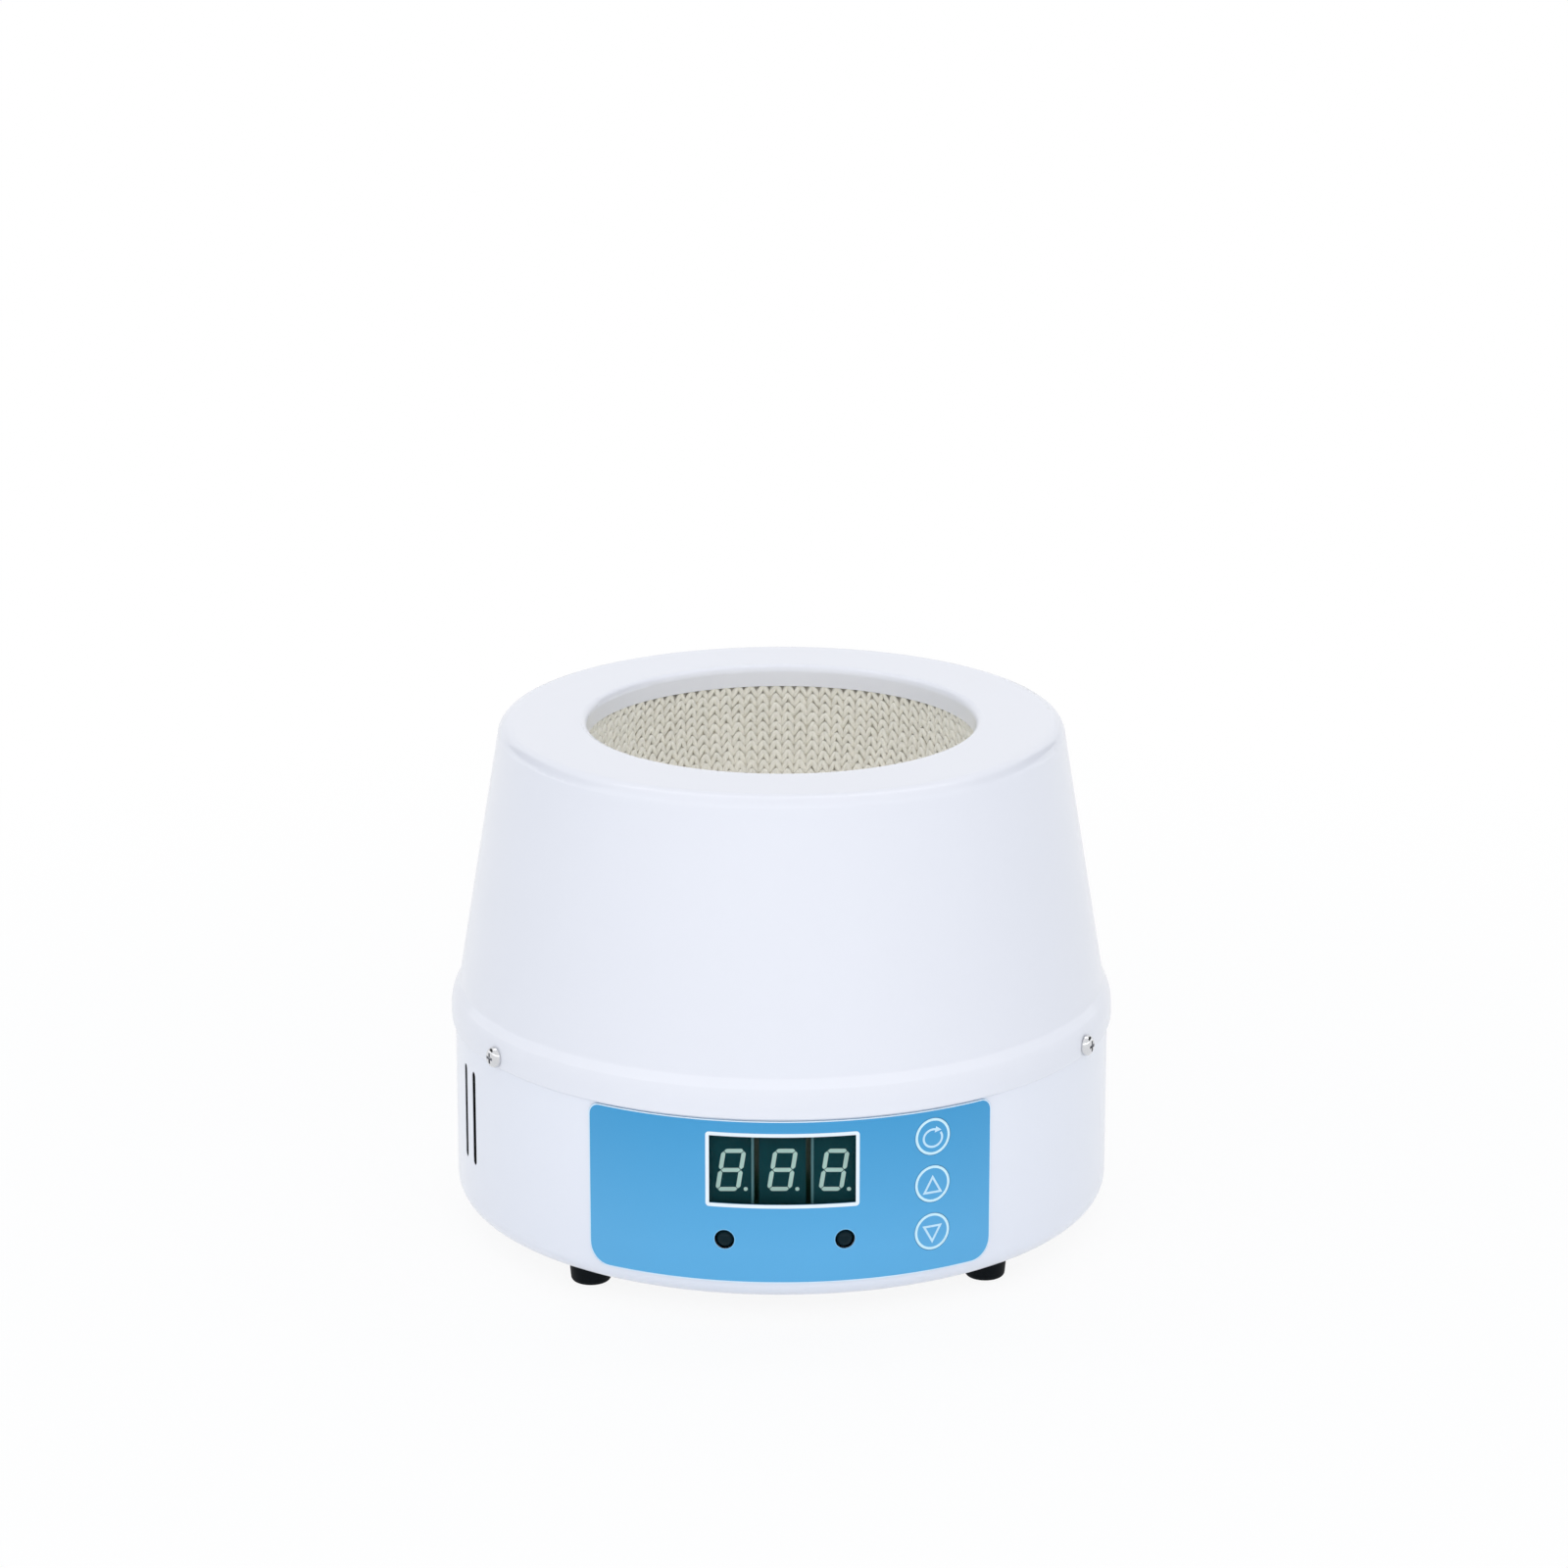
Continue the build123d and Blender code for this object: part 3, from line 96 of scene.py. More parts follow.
class Graph:
    """A node tree, with short calls to add and join nodes."""

    def __init__(self, tree: bpy.types.NodeTree) -> None:
        """Take a tree and empty it."""
        self.tree = tree
        self.tree.nodes.clear()

    def add(self, kind: str, inputs: dict | None = None, **settings: object) -> bpy.types.Node:
        """Add one node.

        Args:
            kind: the node's type name.
            inputs: values or sockets by the name or number of the input they go to.
            **settings: plain properties of the node.

        Returns:
            The new node.
        """
        node = self.tree.nodes.new(kind)
        for key, value in settings.items():
            setattr(node, key, value)
        for key, value in (inputs or {}).items():
            if isinstance(value, bpy.types.NodeSocket):
                self.tree.links.new(value, node.inputs[key])
            else:
                node.inputs[key].default_value = value
        return node

    def noise(self, vector: Socket, size: float, detail: float = 3.0) -> Socket:
        """Add noise whose patches have a size in metres and return its value."""
        node = self.add("ShaderNodeTexNoise", {"Vector": vector, "Scale": 1 / size, "Detail": detail})
        return node.outputs[0]

    def combine(self, operation: str, first: object, second: object, clamp: bool = False) -> Socket:
        """Work two values out to one and return it."""
        node = self.add("ShaderNodeMath", {0: first, 1: second}, operation=operation, use_clamp=clamp)
        return node.outputs[0]

    def span(self, value: Socket, source: Point, target: Point) -> Socket:
        """Carry a value from one range over to another and return it."""
        ends = {1: source[0], 2: source[1], 3: target[0], 4: target[1]}
        return self.add("ShaderNodeMapRange", {0: value, **ends}).outputs[0]

    def between(self, share: Socket, plain: object, other: object) -> Socket:
        """Blend two colours by a share and return the blend."""
        return self.add("ShaderNodeMix", {0: share, 6: plain, 7: other}, data_type="RGBA").outputs[2]

    def place(self) -> Socket:
        """The object's own coordinates."""
        return self.add("ShaderNodeTexCoord").outputs["Object"]

    def axes(self, vector: Socket) -> list[Socket]:
        """Split a vector into its three parts."""
        return list(self.add("ShaderNodeSeparateXYZ", {0: vector}).outputs)

    def looked_at(self) -> Socket:
        """Tell what is looked at from what lights.

        Returns:
            One for what is seen directly, in gloss or through glass, and nought for light.
        """
        rays = self.add("ShaderNodeLightPath").outputs
        seen = self.combine("ADD", rays["Is Camera Ray"], rays["Is Glossy Ray"])
        return self.combine("ADD", seen, rays["Is Transmission Ray"], clamp=True)


def stand(name: str, data: bpy.types.ID) -> bpy.types.Object:
    """Put a new object with its data into the scene.

    Args:
        name: the object's name.
        data: its mesh, lamp or camera.

    Returns:
        The object.
    """
    obj = bpy.data.objects.new(name, data)
    bpy.context.scene.collection.objects.link(obj)
    return obj


def blank(title: str) -> tuple[bpy.types.Material, Graph]:
    """Make a material with an empty tree.

    Args:
        title: its name.

    Returns:
        The material and its tree.
    """
    material = bpy.data.materials.new(title)
    material.use_nodes = True
    return material, Graph(material.node_tree)


@dataclass(frozen=True)
class Finish:
    """One surface finish: its colour, gloss and fine relief.

    Attributes:
        name: plain name of the finish.
        color: display colour.
        roughness: mean roughness.
        metallic: one for bare metal.
        drift: share by which the colour wanders.
        patch: size in metres of the colour's patches.
        relief: kind of fine relief.
        grain: size in metres of the relief.
        depth: depth in metres of the relief.
        coat: weight of a clear top layer.
        sheen: weight of fibre sheen.
        alpha: cover of a clear film.
        specular: strength of the plain reflection.
    """

    name: str
    color: Triple
    roughness: float = 0.5
    metallic: float = 0.0
    drift: float = 0.05
    patch: float = 0.02
    relief: Relief = Relief.GRAIN
    grain: float = 0.0004
    depth: float = 0.000008
    coat: float = 0.0
    sheen: float = 0.0
    alpha: float = 1.0
    specular: float = 0.5

    def height(self, graph: Graph, place: Socket) -> Socket:
        """Height field of the relief.

        Args:
            graph: the material's tree.
            place: socket with the object's own coordinates.

        Returns:
            Socket with a height from nought to one.
        """
        if self.relief is Relief.BRUSHED:
            stretched = graph.add("ShaderNodeMapping", {"Vector": place, "Scale": (1.0, 1.0, 0.04)})
            return graph.noise(stretched.outputs[0], self.grain, 2.0)
        if self.relief is Relief.LAYERS:
            wave = {"Vector": place, "Scale": 0.05 / self.grain, "Distortion": 0.4}
            return graph.add("ShaderNodeTexWave", wave).outputs[1]
        if self.relief is Relief.FIBRE:
            stretched = graph.add("ShaderNodeMapping", {"Vector": place, "Scale": (1.0, 0.3, 0.7)})
            return graph.noise(stretched.outputs[0], self.grain, 6.0)
        return graph.noise(place, self.grain, 1.0 if self.relief is Relief.PEEL else 4.0)

    def tone(self, graph: Graph, place: Socket, patches: Socket) -> Socket:
        """Colour of the surface.

        Args:
            graph: the material's tree.
            place: socket with the object's own coordinates.
            patches: socket with the value that the colour wanders by.

        Returns:
            Socket with the colour.
        """
        base = linear(self.color)
        low = tuple(c * (1 - self.drift) for c in base[:3]) + (1.0,)
        high = tuple(min(1.0, c * (1 + self.drift)) for c in base[:3]) + (1.0,)
        return graph.between(patches, low, high)

    def material(self) -> bpy.types.Material:
        """Build the material once and hand it out from then on.

        Returns:
            The material.
        """
        title = f"finish_{self.name}"
        kept = bpy.data.materials.get(title)
        if kept is not None:
            return kept
        material, graph = blank(title)
        place = graph.place()
        patches = graph.noise(place, self.patch)
        polished = self.roughness * (1 - GLOSS_DRIFT)
        dull = min(1.0, self.roughness * (1 + GLOSS_DRIFT))
        bump = graph.add("ShaderNodeBump", {"Height": self.height(graph, place), "Distance": self.depth})
        shader = graph.add(
            "ShaderNodeBsdfPrincipled",
            {
                "Base Color": self.tone(graph, place, patches),
                "Roughness": graph.span(patches, (0.0, 1.0), (polished, dull)),
                "Metallic": self.metallic,
                "Normal": bump.outputs[0],
                "Coat Weight": self.coat,
                "Coat Roughness": COAT_ROUGHNESS,
                "Sheen Weight": self.sheen,
                "Alpha": self.alpha,
                "Specular IOR Level": self.specular,
            },
        )
        graph.add("ShaderNodeOutputMaterial", {0: shader.outputs[0]})
        return material


@dataclass(frozen=True)
class PanEnamel(Finish):
    """Enamel on the outside of the pan, with painted shade: its inside and the cut edges of its slots are
    painted near black, for the shade inside the closed pan that shows through the slots.

    Attributes:
        painted_shade: display colour of the painted shade, near black.
        wall: radius in metres inside which the wall gets the painted shade.
        floor: height in metres above which the wall is upright.
        flat: distance in metres of the rear flat's face.
    """

    painted_shade: Triple = (12, 12, 14)
    wall: float = 0.09085
    floor: float = 0.0135
    flat: float = 0.0859

    def tone(self, graph: Graph, place: Socket, patches: Socket) -> Socket:
        """Colour of the surface, with painted shade near black inside the pan and on the slots' cut
        edges.

        Args:
            graph: the material's tree.
            place: socket with the object's own coordinates.
            patches: socket with the value that the colour wanders by.

        Returns:
            Socket with the colour.
        """
        across, back, up = graph.axes(place)
        level = graph.add("ShaderNodeCombineXYZ", {0: across, 1: back}).outputs[0]
        reach = graph.add("ShaderNodeVectorMath", {0: level}, operation="LENGTH").outputs[1]
        inside = graph.combine("LESS_THAN", reach, self.wall)
        above = graph.combine("GREATER_THAN", up, self.floor)
        ahead = graph.combine("LESS_THAN", back, self.flat)
        # Painted shade: near black inside the pan and on the slots' cut edges, where the pan's inside
        # lies in shade.
        painted_shade = graph.combine("MULTIPLY", graph.combine("MULTIPLY", inside, above), ahead)
        return graph.between(painted_shade, super().tone(graph, place, patches), linear(self.painted_shade))


@dataclass(frozen=True)
class PanelFilm(Finish):
    """Printed film with painted shade: its colour darkens toward its upper edge, for the shade under the
    shell's skirt.

    Attributes:
        upper: display colour of the painted shade at the upper edge.
        low: height in metres up to which the plain colour holds.
        high: height in metres of the upper edge.
    """

    upper: Triple = (64, 157, 210)
    low: float = 0.02
    high: float = 0.056

    def tone(self, graph: Graph, place: Socket, patches: Socket) -> Socket:
        """Colour of the surface, with painted shade that deepens toward the top.

        Args:
            graph: the material's tree.
            place: socket with the object's own coordinates.
            patches: socket with the value that the colour wanders by.

        Returns:
            Socket with the colour.
        """
        # Painted shade: blend toward the darker upper colour as the height rises.
        share = graph.span(graph.axes(place)[2], (self.low, self.high), (0.0, 1.0))
        return graph.between(share, super().tone(graph, place, patches), linear(self.upper))


BAKED = {
    "roughness": 0.3, "drift": 0.012, "patch": 0.06, "relief": Relief.PEEL, "grain": 0.0016,
    "depth": 0.000005, "coat": 0.45, "specular": 0.3,
}
ENAMEL = Finish("white_enamel", (237, 238, 244), **BAKED)
# The pan's enamel carries painted shade: near black inside the pan and on its slots' cut edges.
PAN_ENAMEL = PanEnamel("pan_enamel", (239, 241, 248), **BAKED)
ZINC = Finish("zinc_plate", (176, 178, 182), 0.42, 1.0, 0.12, 0.008, Relief.BRUSHED, 0.0005)
ALUMINIUM = Finish("spun_aluminium", (206, 208, 210), 0.38, 1.0, 0.05, 0.01, Relief.BRUSHED, 0.0004)
BRIGHT_STEEL = Finish(
    "bright_steel", (214, 215, 218), 0.2, 1.0, 0.05, 0.003, Relief.BRUSHED, 0.0003, 0.000003,
)
YARN = Finish(
    "glass_yarn", (246, 243, 233), 0.72, drift=0.07, patch=0.0035, relief=Relief.FIBRE,
    grain=0.00022, depth=0.00006, sheen=0.3,
)
BACKING = Finish(
    "glass_backing", (222, 217, 203), 0.9, drift=0.1, patch=0.004, relief=Relief.FIBRE, depth=0.00005,
)
WOOL = Finish(
    "felted_wool", (224, 219, 206), 0.95, drift=0.08, relief=Relief.FIBRE, depth=0.00006, sheen=0.2,
)
HEATING_ALLOY = Finish("heating_alloy", (120, 112, 102), 0.5, 1.0, 0.1, 0.005, Relief.BRUSHED)
SLEEVE = Finish(
    "braided_sleeve", (226, 221, 205), 0.85, drift=0.1, patch=0.002, relief=Relief.FIBRE, depth=0.00005,
)
STEATITE = Finish("steatite", (226, 221, 206), 0.55, drift=0.05, patch=0.006)
PRINTED = {"roughness": 0.42, "drift": 0.025, "grain": 0.0003, "depth": 0.000003, "specular": 0.4}
# Both films carry painted shade, darker toward their upper edge under the skirt.
FILM = PanelFilm("blue_film", (91, 175, 225), patch=0.03, **PRINTED)
KEY_FILM = PanelFilm("key_film", (94, 174, 224), patch=0.004, upper=(68, 160, 212), **PRINTED)
# Painted highlight: a pale line just inside the film's edge, for the bright line seen along it.
FILM_HIGHLIGHT = Finish("film_edge_highlight", (226, 243, 252), 0.5, drift=0.03, patch=0.004)
HOLE_EDGE = Finish("hole_cut_edge", (124, 194, 236), 0.5, drift=0.03, patch=0.004)
WHITE_PRINT = Finish("white_print", (238, 248, 253), 0.5, drift=0.015, patch=0.003)
RING_PRINT = Finish("ring_print", (208, 243, 255), 0.5, drift=0.015, patch=0.003)
SYMBOL_PRINT = Finish("symbol_print", (198, 232, 250), 0.5, drift=0.05, patch=0.002)
CLEAR_FILM = Finish(
    "clear_film", (6, 24, 26), 0.12, drift=0.04, patch=0.01, depth=0.000002, alpha=0.06, specular=0.3
)
MODULE = Finish("module_face", (12, 60, 65), 0.45, drift=0.2, patch=0.009, grain=0.0002, specular=0.04)
# Painted highlight on the upright side edges of the digit modules.
MODULE_HIGHLIGHT = Finish("module_highlight", (78, 124, 127), 0.4, drift=0.12, patch=0.004)
SEGMENT = Finish("unlit_segment", (190, 224, 211), 0.6, drift=0.04, patch=0.002, grain=0.0002)
LAMP = Finish("smoked_lamp", (12, 34, 41), 0.14, drift=0.25, patch=0.003, depth=0.000002, specular=0.08)
BOARD = Finish("circuit_board", (22, 92, 52), 0.4, drift=0.1, patch=0.006, coat=0.3)
BLACK_RESIN = Finish(
    "black_resin", (30, 31, 33), 0.5, drift=0.1, patch=0.006, grain=0.0003, depth=0.00002,
)
BLACK_GLOSS = Finish(
    "polished_black", (24, 24, 26), 0.18, drift=0.08, patch=0.006, grain=0.0008, depth=0.000003,
)
RUBBER = Finish(
    "black_rubber", (5, 11, 16), 0.6, drift=0.15, patch=0.003, grain=0.0003, depth=0.00002, specular=0.1,
)
TIN = Finish("tinned_brass", (205, 196, 160), 0.3, 1.0, 0.06, 0.004, Relief.BRUSHED)
CORE_IRON = Finish("core_iron", (96, 97, 100), 0.55, 1.0, 0.1, 0.004, Relief.LAYERS, 0.0005, 0.00004)
TAPE = Finish("winding_tape", (222, 178, 62), 0.35, drift=0.06, patch=0.004)
SHRINK = Finish("shrink_sleeve", (26, 36, 62), 0.3, drift=0.08, patch=0.004)
FUSE_GLASS = Finish("fuse_glass", (216, 226, 226), 0.08, drift=0.03, patch=0.004, alpha=0.4)
WIRE = Finish("grey_wire", (72, 72, 76), 0.4, drift=0.06, patch=0.004)
EARTH_WIRE = Finish("green_wire", (92, 152, 48), 0.4, drift=0.06, patch=0.004)
RIBBON = Finish("ribbon", (166, 166, 170), 0.45, drift=0.06, patch=0.004)
WHITE_MARK = Finish("switch_mark", (232, 232, 230), 0.5, drift=0.03, patch=0.002)


def dress(finish: Finish, *nodes: str) -> None:
    """Give solids that stay as they are their finish.

    Args:
        finish: the finish.
        *nodes: names of the solids.
    """
    for name in nodes:
        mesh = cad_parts[name].data
        mesh.materials.clear()
        mesh.materials.append(finish.material())


# ---------------------------------------------------------------- meshes


class Mesh:
    """Vertices and faces gathered into one piece."""

    def __init__(self) -> None:
        """Start with nothing."""
        self.vertices: list[np.ndarray] = []
        self.faces: Faces = []
        self.count = 0

    def join(self, vertices: np.ndarray, faces: Faces) -> None:
        """Add more of the mesh.

        Args:
            vertices: vertices in metres.
            faces: the faces between them.
        """
        self.vertices.append(vertices)
        self.faces += [[n + self.count for n in face] for face in faces]
        self.count += len(vertices)

    def piece(
        self, name: str, finish: Finish, body: str, slot: str, smooth: bool = False
    ) -> bpy.types.Object:
        """Make the object.

        Args:
            name: the piece's name.
            finish: its finish.
            body: the body that it moves with.
            slot: the record's material slot; not used.
            smooth: whether its faces are shaded smooth.

        Returns:
            The new object.
        """
        data = bpy.data.meshes.new(name)
        data.from_pydata(np.concatenate(self.vertices).tolist(), [], self.faces)
        data.validate()
        data.materials.append(finish.material())
        data.polygons.foreach_set("use_smooth", [smooth] * len(data.polygons))
        obj = stand(name, data)
        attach(obj, body)
        log.info("%s: %d faces", name, len(data.polygons))
        return obj


def slab_faces(count: int) -> Faces:
    """Faces of a slab.

    Args:
        count: number of corners of its lower and of its upper outline.

    Returns:
        The lower face, the upper one and those round the side.
    """
    faces = [list(range(count))[::-1], list(range(count, 2 * count))]
    return faces + [[n, (n + 1) % count, count + (n + 1) % count, count + n] for n in range(count)]


def bar_faces(count: int, closed: bool) -> Faces:
    """Faces of a bar of four corners at each step.

    Args:
        count: number of steps.
        closed: whether the bar meets its own start.

    Returns:
        The faces along it, and its two ends where it is open.
    """
    faces = []
    for n in range(count if closed else count - 1):
        near, far = 4 * n, 4 * ((n + 1) % count)
        faces += [[near + k, far + k, far + (k + 1) % 4, near + (k + 1) % 4] for k in range(4)]
    if not closed:
        faces += [[3, 2, 1, 0], [4 * count - 4, 4 * count - 3, 4 * count - 2, 4 * count - 1]]
    return faces


def spun(profile: list[Point], turns: int) -> tuple[np.ndarray, Faces]:
    """Turn a closed outline round the axis.

    Args:
        profile: radius and height of each corner, in millimetres.
        turns: number of steps round.

    Returns:
        Vertices in metres and faces.
    """
    outline = np.array(profile) * MM
    angles = np.linspace(0, 2 * math.pi, turns, endpoint=False)
    rings = np.stack(
        [
            np.outer(np.cos(angles), outline[:, 0]),
            np.outer(np.sin(angles), outline[:, 0]),
            np.tile(outline[:, 1], (turns, 1)),
        ],
        axis=-1,
    )
    size = len(profile)
    faces = []
    for n in range(turns):
        near, far = n * size, (n + 1) % turns * size
        for k in range(size):
            after = (k + 1) % size
            faces.append([near + k, far + k, far + after, near + after])
    return rings.reshape(-1, 3), faces


# ---------------------------------------------------------------- housing


class Housing:
    """Shell, pan, deck, feet and the screws that hold them."""

    def dress(self) -> None:
        """Finish the sheet metal, the rubber and the fasteners."""
        dress(ENAMEL, "upper_shell")
        dress(PAN_ENAMEL, "base_pan")
        dress(ZINC, "heat_shield")
        dress(RUBBER, "foot_front_left", "foot_front_right", "foot_rear_left", "foot_rear_right")
        dress(BRIGHT_STEEL, "shell_screws", "shell_nuts", "foot_screws", "pan_nuts", "earth_stud")
        log.info("housing dressed")


# ---------------------------------------------------------------- heating bowl


@dataclass
class HeatingBowl:
    """Knitted glass-yarn bowl: rows of stitches on a felted backing.

    Attributes:
        centre_z: height of the bowl's centre.
        face_radius: radius of the middle of the yarn.
        back_radius: radius of the backing's face.
        outer_radius: radius of the backing's outside.
        top_z: top of the backing, behind the lip.
        hem_z: where the backing steps back for the lip.
        hem_radius: radius of that step.
        hole_radius: hole in the bottom for the sensor.
        row_pitch: height of one row.
        stitch_width: widest stitch.
        yarn_width: width of one leg of a stitch.
        yarn_height: thickness of the yarn.
        lean: slant of a stitch's leg, in degrees.
        dip: how far a leg's lower end sinks under the row below, in degrees.
        counts: numbers of stitches that a row may have.
        tightest: narrowest stitch, as a share of the widest.
        ridge: how much thicker every third row is.
        floor_arc: how far from the bottom the last row ends.
        mesh_rows: rows that go into one mesh.
        leg: half a leg's length as a share of a row, and how much that varies.
        fill: widest share of a stitch that one leg takes.
        stand_off: how far a leg stands off the face, and how much that varies.
        girth_play: how much the width of a leg varies, as a share.
        place_play: how much its place round the bowl varies, in radians.
        slant_play: how much its slant and its dip vary, in degrees.
        seed: seed of the yarn's unevenness.
    """

    centre_z: float = 128.73
    face_radius: float = 54.9
    back_radius: float = 55.2
    outer_radius: float = 59.1
    top_z: float = 140.5
    hem_z: float = 135.3
    hem_radius: float = 55.3
    hole_radius: float = 2.1
    row_pitch: float = 2.75
    stitch_width: float = 3.5
    yarn_width: float = 1.75
    yarn_height: float = 1.25
    lean: float = 24.0
    dip: float = 13.0
    counts: tuple[int, ...] = (96, 64, 42, 28, 18, 12)
    tightest: float = 0.66
    ridge: float = 1.22
    floor_arc: float = 4.5
    mesh_rows: int = 7
    leg: Point = (0.88, 0.03)
    fill: float = 0.56
    stand_off: Point = (0.1, 0.06)
    girth_play: float = 0.05
    place_play: float = 0.002
    slant_play: float = 2.0
    seed: int = 7

    def petal(self) -> tuple[np.ndarray, Faces]:
        """One leg of a stitch as a slim closed form.

        Returns:
            Its vertices, with half lengths of one, and its faces.
        """
        rings, sides = 5, 6
        tip, fullness = 0.82, 0.4
        corners = [(-1.0, 0.0, 0.0)]
        for ring in range(rings):
            along = -tip + 2 * tip * ring / (rings - 1)
            girth = (1 - along**2) ** fullness
            for side in range(sides):
                turn = 2 * math.pi * side / sides
                corners.append((along, girth * math.cos(turn), girth * math.sin(turn)))
        corners.append((1.0, 0.0, 0.0))
        last = len(corners) - 1
        faces = []
        for side in range(sides):
            after = (side + 1) % sides
            faces.append([0, 1 + after, 1 + side])
            faces.append([last, last - sides + side, last - sides + after])
            for ring in range(rings - 1):
                low, high = 1 + ring * sides, 1 + (ring + 1) * sides
                faces.append([low + side, low + after, high + after, high + side])
        return np.array(corners), faces

    def row(self, arc: float) -> tuple[float, float, np.ndarray, np.ndarray]:
        """Where a row lies.

        Args:
            arc: distance up the wall from the bottom.

        Returns:
            Radius, height, and the directions up the wall and off its face, as (outward, up).
        """
        quarter = self.face_radius * math.pi / 2
        polar = min(arc / self.face_radius, math.pi / 2)
        radius = self.face_radius * math.sin(polar)
        height = self.centre_z - self.face_radius * math.cos(polar) + max(0.0, arc - quarter)
        uphill = np.array([math.cos(polar), math.sin(polar)])
        inward = np.array([-math.sin(polar), math.cos(polar)])
        return radius, height, uphill, inward

    def stitches(self) -> list[Mesh]:
        """Yarn of the whole bowl.

        Returns:
            Meshes of a moderate size each, from the top down.
        """
        shape, faces = self.petal()
        random = np.random.RandomState(self.seed)
        quarter = self.face_radius * math.pi / 2
        last = quarter + self.hem_z - self.centre_z - self.row_pitch * 0.4
        rows = int((last - self.floor_arc) / self.row_pitch)
        parts = [Mesh(), Mesh(), Mesh()]
        for index in range(rows + 1):
            arc = last - index * self.row_pitch
            radius, height, uphill, inward = self.row(arc)
            around = 2 * math.pi * radius
            narrowest = self.stitch_width * self.tightest
            count = next((c for c in self.counts if around / c >= narrowest), self.counts[-1])
            width = around / count
            ridge = self.ridge if index % 3 == 1 else 1.0
            for wale in range(count):
                for side in (-1, 1):
                    turn = 2 * math.pi * (wale + 0.5 + side * 0.25) / count
                    turn += random.normal(0, self.place_play)
                    outward = np.array([math.cos(turn), math.sin(turn), 0])
                    across = np.array([-math.sin(turn), math.cos(turn), 0])
                    climb = outward * uphill[0] + np.array([0, 0, uphill[1]])
                    off = outward * inward[0] + np.array([0, 0, inward[1]])
                    lean = math.radians(self.lean + random.normal(0, self.slant_play)) * side
                    dip = math.radians(self.dip + random.normal(0, self.slant_play))
                    flat = climb * math.cos(lean) + across * math.sin(lean)
                    along = flat * math.cos(dip) + off * math.sin(dip)
                    beside = np.cross(along, off)
                    beside /= np.linalg.norm(beside)
                    proud = np.cross(beside, along)
                    length = self.row_pitch * random.normal(*self.leg)
                    girth = min(self.yarn_width, width * self.fill) / 2
                    girth = girth * random.normal(1, self.girth_play)
                    scale = np.array([length, girth, self.yarn_height / 2 * ridge])
                    middle = outward * radius + np.array([0, 0, height])
                    middle = middle + off * random.normal(*self.stand_off)
                    parts[min(2, index // self.mesh_rows)].join(
                        (middle + (shape * scale) @ np.stack([along, beside, proud])) * MM, faces
                    )
        return parts

    def backing(self) -> Mesh:
        """Felted wall behind the yarn.

        Returns:
            Its mesh.
        """
        steps = 24
        curves = []
        for radius in (self.back_radius, self.outer_radius):
            low = math.asin(self.hole_radius / radius)
            turns = [low + (math.pi / 2 - low) * n / steps for n in range(steps + 1)]
            curves.append([(radius * math.sin(t), self.centre_z - radius * math.cos(t)) for t in turns])
        inner, outer = curves
        top = [
            (self.back_radius, self.hem_z),
            (self.hem_radius, self.hem_z),
            (self.hem_radius, self.top_z),
            (self.outer_radius, self.top_z),
        ]
        mesh = Mesh()
        mesh.join(*spun(outer[::-1] + inner + top, 96))
        return mesh

    def build(self) -> None:
        """Make the bowl's pieces in place of the plain solid."""
        back = self.backing().piece("bowl_backing", BACKING, "housing", "glass_knit", smooth=True)
        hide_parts("heating_bowl")
        for number, part in enumerate(self.stitches(), 1):
            yarn = part.piece(f"bowl_knit_{number}", YARN, "housing", "glass_knit", smooth=True)
            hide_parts("heating_bowl")

    def dress(self) -> None:
        """Finish what carries and feeds the bowl."""
        dress(ALUMINIUM, "bowl_cradle")
        dress(HEATING_ALLOY, "heater_element")
        dress(WOOL, "insulation")
        dress(SLEEVE, "heater_leads")
        dress(STEATITE, "lead_bushings")
        dress(BRIGHT_STEEL, "sensor_probe", "sensor_gland")


# ---------------------------------------------------------------- print on the drum


